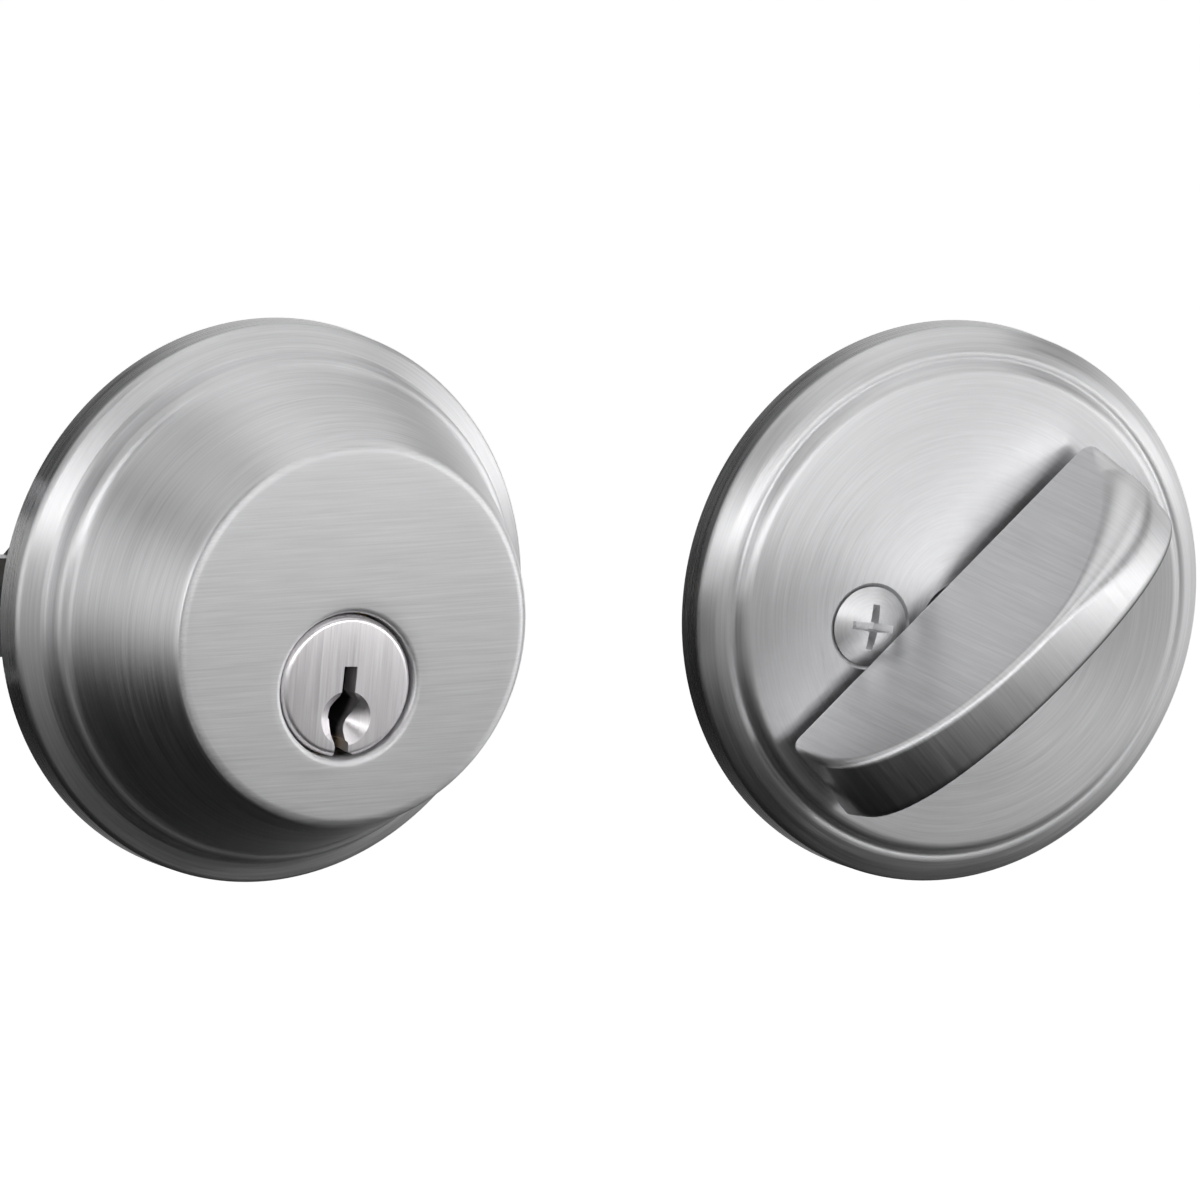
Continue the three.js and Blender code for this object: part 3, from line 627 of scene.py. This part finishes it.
def grip_outline():
    """The D as its flat sides show it: (along, out) from the middle of the foot round to it."""
    l, h, corner, steps = GRIP_HALF, GRIP_HEIGHT, 1.6, 6
    right = []
    for k in range(steps, 0, -1):
        a = math.pi / 2 * k / steps
        right.append(Vector((l - corner + corner * math.cos(a), corner - corner * math.sin(a))))
    right += [Vector((l, corner)), Vector((l, 3.0))]
    start, c1, c2, top = Vector((l, 6.0)), Vector((l - 0.1, 15.2)), Vector((15.4, h)), Vector((0, h))
    for k in range(41):
        t = k / 40
        s = 1 - t
        right.append(start * s ** 3 + c1 * 3 * t * s ** 2 + c2 * 3 * t * t * s + top * t ** 3)
    left = [Vector((-p.x, p.y)) for p in reversed(right[:-1])]
    foot = [Vector((x, 0)) for x in (-18.0, -9.0, 0.0, 9.0, 18.0)]
    return foot[2:] + right + left + foot[:2]


def edge_radius(p, near):
    """Of the grip's rounded edges: wide towards the upper end of the near side, else crisp."""
    lift = smoothstep((p.y - 1.0) / 6.0)
    swell = 0.25 + 3.2 * smoothstep((p.x - 1.0) / 20.0) if near else 0.5
    return 0.7 + lift * swell


def grip():
    """The D-shaped grip: an outline whose edges are rounded over to its two flat sides."""
    outline = grip_outline()
    n = len(outline)
    normals = []
    for i in range(n):
        tangent = (outline[(i + 1) % n] - outline[i - 1]).normalized()
        normals.append(Vector((tangent.y, -tangent.x)))

    def loop(near, inset, drop, extra):
        """The outline moved in and down by shares of the edge radius, and in by extra."""
        points = []
        for p, q in zip(outline, normals):
            r = edge_radius(p, near)
            at = p - q * (r * inset + extra)
            across = GRIP_FOOT - GRIP_DRAFT * at.y - r * drop
            points.append((at.x, at.y, across if near else -across))
        return points

    roll = [(1, 0, SUPPORT)]
    for k in range(9):
        a = math.pi / 2 * k / 8
        roll.append((1 - math.sin(a), 1 - math.cos(a), 0))
    near, far = [[loop(side, *step) for step in roll] for side in (True, False)]
    # Before the turn, along lies on X and across on +Z.
    base = PLATE_DEPTH + GRIP_GAP
    sections = [[(INT_X + a, -(base + b), TURN_Z + c) for a, b, c in points] for points in near + far[::-1]]
    return turn_y(loft("grip", sections), -45, INT_X, TURN_Z)


def thumbturn():
    back, top, r = PLATE_DEPTH - 2, PLATE_DEPTH + GRIP_GAP + 0.4, COLLAR_RADIUS
    collar = turned("collar", [(0, back), (r - 0.2, back), (r, back + 0.2), (r, top), (0, top)], at=TURN_AT)
    bore = bar("bore", 4.25, -(PLATE_DEPTH + 6.8), 0, TURN_AT)
    return cut(join(grip(), collar), bore)


finish_piece(thumbturn(), "thumbturn", "thumbturn", "grip")


def thread_rows(radius, low, high, pitch, steps=6):
    """Evenly spaced (radius, height) rows for a shaft that a thread is pressed into."""
    count = max(2, int((high - low) / pitch * steps))
    return [(radius, low + (high - low) * k / count) for k in range(count + 1)]


def press_thread(obj, radius, low, high, pitch, depth, at, axis="y"):
    """Moves the points of a shaft in and out along a helix."""
    along = "xyz".index(axis)
    a, b = [i for i in range(3) if i != along]
    for v in obj.data.vertices:
        p = v.co / MM
        u, w, h = p[a] - at[a], p[b] - at[b], p[along]
        r = math.hypot(u, w)
        if abs(r - radius) > 0.02 or not low < h < high:
            continue
        turns = h / pitch - math.atan2(w, u) / (2 * math.pi)
        wave = 1 - abs((turns % 1) * 2 - 1)
        scale = 1 - depth * min(1, (h - low) / pitch, (high - h) / pitch) * wave / r
        v.co[a], v.co[b] = (at[a] + u * scale) * MM, (at[b] + w * scale) * MM
    return obj


def mounting_screw(name, x):
    end, d, at = -extent(name)[1].y, PLATE_DEPTH, (x, 0, TURN_Z)
    shank, pitch, head, rise, steps = 2.3, 0.8, SCREW_HEAD, SCREW_RISE, 14
    profile = [(0, end), (1.9, end)] + thread_rows(shank, end + 0.4, d - 3.0, pitch)
    profile += arc_corners([(shank, d - 2.7, 0), (4.5, d - 0.35, 0.2), (head, d + 0.03, 0.15)], 3)
    sphere = (head ** 2 + rise ** 2) / (2 * rise)
    for k in range(1, steps + 1):
        r = head * math.cos(math.pi / 2 * k / steps) if k < steps else 0
        profile.append((r, d + rise - sphere + math.sqrt(sphere ** 2 - r ** 2)))
    screw = turned(name, profile, 56, at)
    return press_thread(screw, shank, 5.0 - d, -end - 0.3, pitch, 0.32, at)


def cross_recess(x, z, top, arm, half, deep, turn=0.0):
    """A four-armed recess cutter about Y, each arm narrower below than above."""
    wide, low = -top + 0.3, -top + deep
    outline = [(-arm, -top - 1.0), (arm, -top - 1.0), (arm * 0.95, wide), (arm * 0.42, low),
               (-arm * 0.42, low), (-arm * 0.95, wide)]
    arms = []
    for quarter in (0, 90):
        sections = [[(x + a, y, z + side * half * (1 if y < wide else 0.72)) for a, y in outline]
                    for side in (-1, 1)]
        arms.append(turn_y(loft("arm", sections), quarter + turn, x, z))
    return join(*arms)


for side, x in zip(("left", "right"), SCREW_X):
    name, piece = "mounting_screw_" + side, "screw_" + side
    recess = cross_recess(x, TURN_Z, PLATE_DEPTH + SCREW_RISE, 2.8, 0.6, 2.3, 6)
    screw = cut(mounting_screw(name, x), recess)
    screw.name = piece
    finish_piece(screw, "root", name, piece, 32)

# ---- Cylinder, clamp plate and posts ----

POST_RADIUS, POST_HOLE = 3.1, 3.45


def cylinder_shell():
    low, high = extent("cylinder_shell")
    barrel = bar("barrel", 8.4, low.y, high.y, PLUG_AT, segments=96, chamfer=0.2)
    tower = block("tower", EXT_X - 4.6, EXT_X + 4.6, low.y, high.y, PLUG_Z, high.z)
    bore = bar("bore", 6.45, low.y - 1, high.y + 1, PLUG_AT, segments=96)
    holes = [bar("hole", 1.52, PLUG_Z, high.z + 1, middle(f"key_pin_{i}"), "z", 32) for i in range(1, 6)]
    return soften(cut(join(barrel, tower), bore, *holes), 0.15)


def plug_retainer():
    low, high = extent("plug_retainer")
    loop = arc_corners([
        (3.7, -high.y, 0.25), (3.7, -high.y + 1.2, 0), (5.56, -high.y + 1.2, 0), (5.56, -low.y, 0.15),
        (7.8, -low.y, 0.3), (7.8, -high.y, 0.5),
    ], 3)
    cap = rings("cap", [(r, d, PLUG_Z) for r, d in loop], 96, EXT_X)
    teeth = []
    for k in range(10):
        tooth = block("tooth", EXT_X + 7.0, EXT_X + 8.5, high.y - 2.4, high.y + 1,
                      PLUG_Z - 0.6, PLUG_Z + 0.6)
        teeth.append(turn_y(tooth, 36 * k, EXT_X, PLUG_Z))
    return cut(cap, *teeth)


def post_holes():
    return [bar("hole", POST_HOLE, -9, 50, (x, 0, PLUG_Z), segments=40) for x in POST_X]


def clamp_plate():
    low, high = extent("cylinder_clamp_plate")
    disc = bar("disc", 26, low.y, high.y, (EXT_X, 0, 0), segments=160)
    barrel = bar("barrel", 8.7, -9, 9, PLUG_AT, segments=72)
    tower = block("tower", EXT_X - 4.9, EXT_X + 4.9, -9, 9, PLUG_Z, PLUG_Z + 20.6)
    return soften(cut(disc, barrel, tower, *post_holes()), 0.25)


def threaded_post(name):
    low, high = extent(name)
    at = (middle(name).x, 0, PLUG_Z)
    front, back, tip = -low.y, -high.y, -2.0
    wall, pitch = 2.45, 0.8  # of the threaded hole in its back end, which ends at the tip
    profile = [(0, tip)] + thread_rows(wall, back + 0.5, tip, pitch)[::-1]
    profile += [(2.75, back), (POST_RADIUS, back + 0.35), (POST_RADIUS, front - 0.3), (2.8, front),
                (0, front)]
    return press_thread(turned(name, profile, 40, at), wall, 2.2, high.y - 0.5, pitch, -0.3, at)


finish_piece(cylinder_shell(), "root", "cylinder_shell", "brass")
finish_piece(plug_retainer(), "plug", "plug_retainer", "brass")
finish_piece(clamp_plate(), "root", "cylinder_clamp_plate", "steel_disc")
for post in ("threaded_post_left", "threaded_post_right"):
    finish_piece(threaded_post(post), "root", post, "steel")

BLADE = (3.2, 0.8)  # half width and half thickness of the tailpiece


def tailpiece():
    low, high = extent("tailpiece")
    core = bar("core", 2.6, low.y, low.y + 2.9, PLUG_AT)
    lug_shape = [(EXT_X + r * math.cos(a), PLUG_Z + r * math.sin(a)) for r, turns in ((4.2, 1), (1.0, -1))
                 for a in [math.radians(-90 + turns * (k * 3 - 15)) for k in range(11)]]
    lug = prism("lug", lug_shape, low.y, low.y + 2.0)
    w, h = BLADE
    blade = block("blade", EXT_X - w, EXT_X + w, low.y + 2.5, high.y, PLUG_Z - h, PLUG_Z + h)
    scores = [block("score", EXT_X - 5, EXT_X + 5, y, y + 0.5, z - 0.18, z + 0.18)
              for y in (high.y - 6.0, high.y - 12.0) for z in (PLUG_Z - h, PLUG_Z + h)]
    blade = turn_y(cut(blade, *scores), 45, EXT_X, PLUG_Z)
    return soften(join(core, lug, blade), 0.12)


finish_piece(tailpiece(), "cam", "tailpiece", "steel")

# ---- Bolt unit ----

BOLT_HALF = (7.75, 10.2)  # across the door and upright
CASE_HALF, CASE_WALL = (9.4, 11.8), 1.2
PIN_X = middle("link_rivet").x


def bolt():
    """The bolt with its chamfered nose and the link's slot.

    The bore and the rivet's hole pass beside it, because bar() counts from its place, so only the
    CAD solid has them. Taking the two cutters away changes how the nose is divided and shaded.
    """
    low, high = extent("bolt")
    y, z = BOLT_HALF
    sections = []
    for x, inset in ((0.0, 1.1), (0.12, 0.7), (0.45, 0.25), (1.0, 0.0), (high.x - low.x, 0.0)):
        outline = rounded(y - inset, z - inset, 2.5 - inset, BOLT_Y, 0)
        sections.append([(low.x + x, a, b) for a, b in outline])
    body = loft("bolt_body", sections)
    bore = bar("bore", 3.2, high.x - 33, high.x + 1, middle("anti_saw_pin"), "x", 48)
    slot = block("slot", high.x - 12, high.x + 1, BOLT_Y - 1.5, BOLT_Y + 1.5, -0.9, z + 1)
    rivet = bar("rivet", 1.7, 0, 50, middle("link_rivet"), segments=40)
    rivet.data.transform(Matrix.Translation((0, middle("link_rivet").y * MM, 0)))
    return cut(body, bore, slot, rivet)


def anti_saw_pin():
    low, high = extent("anti_saw_pin")
    _, y, z = middle("anti_saw_pin")
    return bar("saw_pin", 2.9, low.x, high.x, (0, y, z), "x", 48, 0.4)


def link_outline():
    tail = extent("bolt_link")[0].x
    fork = 2.15
    return [
        (tail, -0.6), (-28.6, -0.6), (-28, -2.5), (-18.8, -2.5), (-17.3, -0.6), (6.5, -0.6), (6.5, 12.6),
        (fork, 12.6), (fork, 4.6), (-fork, 4.6), (-fork, 12.6), (-6.5, 12.6), (-6.5, 3.2), (-18.6, 3.2),
        (-20.5, 0.9), (-26.6, 0.9), (-29, 9.4), (tail, 9.4),
    ]


def bolt_link():
    low, high = extent("bolt_link")
    outline = arc_corners([(x, z, 0.3) for x, z in link_outline()], 3)
    plate = prism("plate", outline, low.y, high.y)
    return soften(cut(plate, bar("hole", 1.7, 0, 50, (PIN_X, 0, 6), segments=40)), 0.15)


def bolt_case():
    low, high = extent("bolt_case")
    (y, z), w = CASE_HALF, CASE_WALL
    near, far = BOLT_Y - y - 1, BOLT_Y + y + 1
    outer = prism("outer", rounded(y, z, 0.9, BOLT_Y, 0, 4), low.x, high.x, "yz")
    inner = prism("inner", rounded(y - w, z - w, 0.4, BOLT_Y, 0, 4), low.x - 1, high.x + 1, "yz")
    above = prism("above", arc_corners([
        (-29, z + 1, 0), (-29, -3.6, 1.0), (-16, -3.6, 0.6), (-16, -1.3, 0.6), (-7.6, -1.3, 0.6),
        (-7.6, 0.8, 0.6), (high.x + 1, 0.8, 0), (high.x + 1, z + 1, 0),
    ], 4), near, far)
    below = prism("below", arc_corners([
        (-29, -z - 1, 0), (-16, -z - 1, 0), (-16, -9.2, 1.0), (-29, -9.2, 1.0),
    ], 4), near, far)
    journal = bar("journal", 4.6, 0, 50, PLUG_AT)
    return soften(cut(outer, inner, above, below, journal, *post_holes()), 0.2)


def cam_hub():
    low, high = extent("cam_hub")
    hub = bar("hub", 4.2, low.y, high.y, PLUG_AT, chamfer=0.25)
    reach = 18.96
    cheeks = [prism("cheek", arc_corners([
        (EXT_X - 3.4, PLUG_Z, 0), (EXT_X + 3.4, PLUG_Z, 0), (EXT_X + 2.2, PLUG_Z + reach, 1.4),
        (EXT_X - 2.2, PLUG_Z + reach, 1.4),
    ], 5), BOLT_Y + y0, BOLT_Y + y0 + 2.0) for y0 in (-3.5, 1.5)]
    pin = bar("pin", 1.5, BOLT_Y - 3, BOLT_Y + 3, (EXT_X, 0, PLUG_Z + 17.96), segments=32)
    w, h = BLADE
    slot = block("slot", EXT_X - w - 0.25, EXT_X + w + 0.25, 0, 60, PLUG_Z - h - 0.25, PLUG_Z + h + 0.25)
    return soften(cut(join(hub, *cheeks, pin), turn_y(slot, 45, EXT_X, PLUG_Z)), 0.15)


def edge_plate(name, sink):
    """Faceplate or support plate; sink is a countersink's (inner, outer) radius, or (bore,)."""
    low, high = extent(name)
    half_width, half_height, corner = 12.7, 28.5, 6.3
    plate = prism(name, rounded(half_width, half_height, corner, BOLT_Y, 0, 12), low.x, high.x, "yz")
    cuts = [prism("window", rounded(8.1, 10.55, 2.7, BOLT_Y, 0), low.x - 1, high.x + 1, "yz")]
    for side in ("lower", "upper"):
        at = (low.x, BOLT_Y, middle("faceplate_screw_" + side).z)
        if len(sink) == 1:
            cuts.append(bar("hole", sink[0], -1, 4, at, "x", 48))
        else:
            inner, outer = sink
            profile = [(0, -1), (outer, -1), (outer, 0.05), (inner, 1.55), (inner, 4), (0, 4)]
            cuts.append(turned("sink", profile, 48, at, "x"))
    return soften(cut(plate, *cuts), 0.25)


def faceplate_screw(name):
    low, high = extent(name)
    at = (low.x, BOLT_Y, middle(name).z)
    length, shank, pitch, neck, taper_length = high.x - low.x, 1.95, 1.4, 2.4, 4
    rows = thread_rows(shank, neck, length - taper_length, pitch, 8)
    profile = [(0, 0), (3.75, 0), (3.9, 0.12), (2.1, 1.6)] + rows + [(1.2, length - 2), (0, length)]
    screw = press_thread(turned(name, profile, 40, at, "x"), shank, low.x + neck, high.x - taper_length,
                         pitch, 0.5, at, "x")
    arms = []
    for a, b in ((1.9, 0.36), (0.36, 1.9)):
        sections = []
        for x, taper in ((-0.3, 1.0), (0.1, 1.0), (1.5, 0.5)):
            ta, tb = a * (taper if a > b else 1), b * (taper if b > a else 1)
            sections.append([(at[0] + x, at[1] + sa * ta, at[2] + sb * tb)
                             for sa, sb in ((-1, -1), (1, -1), (1, 1), (-1, 1))])
        arms.append(loft("arm", sections))
    return cut(screw, join(*arms))


finish_piece(bolt(), "bolt", "bolt", "bolt")
finish_piece(bolt_link(), "bolt", "bolt_link", "steel")
finish_piece(anti_saw_pin(), "bolt", "anti_saw_pin", "steel")
finish_piece(bolt_case(), "root", "bolt_case", "stamped")
finish_piece(cam_hub(), "cam", "cam_hub", "zinc")
finish_piece(edge_plate("faceplate", (2.4, 4.2)), "root", "faceplate", "edge")
finish_piece(edge_plate("support_plate", (2.6,)), "root", "support_plate", "steel")
for screw in ("faceplate_screw_lower", "faceplate_screw_upper"):
    finish_piece(faceplate_screw(screw), "root", screw, "bolt")

# ---- Behind the interior rose ----


def backing_plate():
    low, high = extent("backing_plate")
    disc = bar("disc", 27.5, low.y, high.y, (INT_X, 0, 0), segments=160)
    holes = [bar("hole", 7.6, -9, 9, TURN_AT)] + [bar("hole", 2.8, -9, 9, (x, 0, TURN_Z)) for x in SCREW_X]
    return soften(cut(disc, *holes), 0.25)


def turn_spindle():
    front = -extent("turn_spindle")[0].y
    shaft = turned("shaft", arc_corners([
        (0, 0.5, 0), (4.2, 0.5, 0.25), (4.2, 3.6, 0), (3.4, 3.6, 0), (3.4, 4.6, 0), (4.2, 4.6, 0),
        (4.2, front, 0.3), (0, front, 0),
    ], 3), at=TURN_AT)
    w, h = BLADE
    slot = block("slot", INT_X - w - 0.2, INT_X + w + 0.2, -8, 9, TURN_Z - h - 0.2, TURN_Z + h + 0.2)
    return soften(cut(shaft, turn_y(slot, -45, INT_X, TURN_Z)), 0.1)


def retaining_clip():
    low, high = extent("retaining_clip")
    outline = []
    for radius, way in ((6.4, 1), (3.5, -1)):
        for k in range(61):
            a = math.radians(-45 + way * (-145 + 290 * k / 60))
            outline.append((INT_X + radius * math.cos(a), TURN_Z + radius * math.sin(a)))
    return soften(prism("clip", outline, low.y, high.y), 0.1)


def wave_washer():
    middle_depth, wave, waves = -middle("wave_washer").y, 0.08, 3
    section = [(4.6, -0.1), (4.7, -0.125), (8.1, -0.125), (8.2, -0.1)]
    section += [(r, -d) for r, d in reversed(section)]
    washer = rings("washer", [(r, middle_depth + d, TURN_Z) for r, d in section], 144, INT_X)
    for v in washer.data.vertices:
        p = v.co / MM
        v.co.y += wave * MM * math.cos(waves * math.atan2(p.z - TURN_Z, p.x - INT_X))
    return washer


finish_piece(backing_plate(), "root", "backing_plate", "steel")
finish_piece(turn_spindle(), "thumbturn", "turn_spindle", "steel")
finish_piece(retaining_clip(), "thumbturn", "retaining_clip", "spring")
finish_piece(wave_washer(), "root", "wave_washer", "spring")

# ---- Nodes carried over ----

LOOK_OF = {
    "brass": ["chamber_cover"] + [f"{kind}_pin_{i}" for kind in ("key", "driver") for i in range(1, 6)],
    "spring": [f"pin_spring_{i}" for i in range(1, 6)],
    "steel_disc": ["drill_guard_plate"],
    "steel": ["link_rivet"],
}
for look, names in LOOK_OF.items():
    for name in names:
        node = NODES[name]
        node.data.materials.clear()
        node.data.materials.append(MAT[look])
        if not name.startswith("pin_spring"):
            soften(node, 0.1)

# ---- Floor, light and camera ----

FLOOR_Z, FLOOR_HALF = -0.12, 5.0  # metres
FLOOR_GLOW = 0.6  # keeps the floor pale in every view


def floor():
    size = FLOOR_HALF
    mesh = bpy.data.meshes.new("floor")
    mesh.from_pydata([(-size, -size, FLOOR_Z), (size, -size, FLOOR_Z), (size, size, FLOOR_Z),
                      (-size, size, FLOOR_Z)], [], [(0, 1, 2, 3)])
    obj = bpy.data.objects.new("floor", mesh)
    bpy.context.scene.collection.objects.link(obj)
    material = bpy.data.materials.new("pale_floor")
    material.use_nodes = True
    g = Graph(material.node_tree)
    shader = material.node_tree.nodes["Principled BSDF"]
    speck = g.noise(g.node("ShaderNodeTexCoord").outputs["Object"], 3.0, 2.0)
    tint = g.tint((0.93, 0.93, 0.93), g.math("MULTIPLY_ADD", speck, 0.02, 0.98))
    g.feed(shader.inputs["Base Color"], tint)
    shader.inputs["Roughness"].default_value = 0.9
    shader.inputs["Specular IOR Level"].default_value = 0.1
    shader.inputs["Emission Color"].default_value = (1, 1, 1, 1)
    shader.inputs["Emission Strength"].default_value = FLOOR_GLOW
    mesh.materials.append(material)
    obj.visible_glossy = False


floor()

# Soft boxes seen by the metal: azimuth from -Y towards +X, elevation, half width, strength.
SOFT_BOXES = [
    (0, 0, 40, 0.31), (60, 0, 40, 0.72), (90, 0, 40, 0.6), (270, 0, 40, 0.27), (300, 0, 40, 0.18),
    (330, 0, 40, 0.16), (282, 0, 25, 1.1), (135, 36, 42, 0.38), (270, 36, 42, 0.45),
    (120, 72, 42, 0.5), (240, 72, 42, 0.58), (160, -2, 36, 0.55),
]
AMBIENT = 0.006  # what reaches the metal from everywhere else
BACKDROP = 1.0  # what the camera sees beyond the floor


def toward(azimuth, elevation):
    a, e = math.radians(azimuth), math.radians(elevation)
    return Vector((math.sin(a) * math.cos(e), -math.cos(a) * math.cos(e), math.sin(e)))


def world():
    made = bpy.data.worlds.new("studio")
    bpy.context.scene.world = made
    made.use_nodes = True
    g = Graph(made.node_tree)
    back = made.node_tree.nodes["Background"]
    way = g.vector("NORMALIZE", g.node("ShaderNodeTexCoord").outputs["Generated"])
    total = AMBIENT
    for azimuth, elevation, half, strength in SOFT_BOXES:
        facing = g.vector("DOT_PRODUCT", way, tuple(toward(azimuth, elevation)))
        total = g.math("ADD", total, g.ramp(facing, math.cos(math.radians(half)), 1.0, 0.0, strength))
    seen = g.node("ShaderNodeLightPath").outputs["Is Camera Ray"]
    g.feed(back.inputs["Strength"], g.mix(seen, total, BACKDROP))
    back.inputs["Color"].default_value = (1, 1, 1, 1)


world()


def strip_light(name, at, aim, size, power):
    """A soft strip, (length, width) in metres, that the camera itself does not see."""
    data = bpy.data.lights.new(name, "AREA")
    data.shape, (data.size, data.size_y), data.energy = "RECTANGLE", size, power
    obj = bpy.data.objects.new(name, data)
    bpy.context.scene.collection.objects.link(obj)
    obj.location = at
    obj.rotation_euler = (Vector(at) - Vector(aim)).to_track_quat("Z", "Y").to_euler()
    obj.visible_camera = False


strip_light("near_front", (0.11, -0.13, 0.035), (0.11, 0, 0.035), (0.5, 0.03), 0.14)
strip_light("high_front", (0.15, -0.26, 0.42), (0.045, 0, 0), (0.6, 0.2), 0.41)

# The camera, as fitted to the two rims and the domed face in the photograph.
AIM_SHIFT = (0.776, -0.261)  # of its aim from the middle between the halves, along X and Z
AZIMUTH, ELEVATION, ROLL = -28.13, 8.79, 4.71
DISTANCE, SENSOR, LENS = 6.0, 36.0, 1567.8  # metres, and two in camera millimetres


def camera():
    data = bpy.data.cameras.new("camera")
    data.sensor_width, data.lens = SENSOR, LENS
    data.clip_start, data.clip_end = 0.1, 40.0
    obj = bpy.data.objects.new("camera", data)
    bpy.context.scene.collection.objects.link(obj)
    back = toward(AZIMUTH, ELEVATION)
    azimuth, roll = math.radians(AZIMUTH), math.radians(ROLL)
    right = Vector((math.cos(azimuth), math.sin(azimuth), 0))
    up = back.cross(right)
    c, s = math.cos(roll), math.sin(roll)
    turn = Matrix((c * right + s * up, c * up - s * right, back)).transposed()
    aim = Vector((0.5 * (EXT_X + INT_X) + AIM_SHIFT[0], 0, AIM_SHIFT[1])) * MM
    obj.matrix_world = Matrix.Translation(aim + back * DISTANCE) @ turn.to_4x4()
    bpy.context.scene.camera = obj


camera()
bpy.context.scene.view_settings.view_transform = "Standard"

bpy.context.view_layer.update()
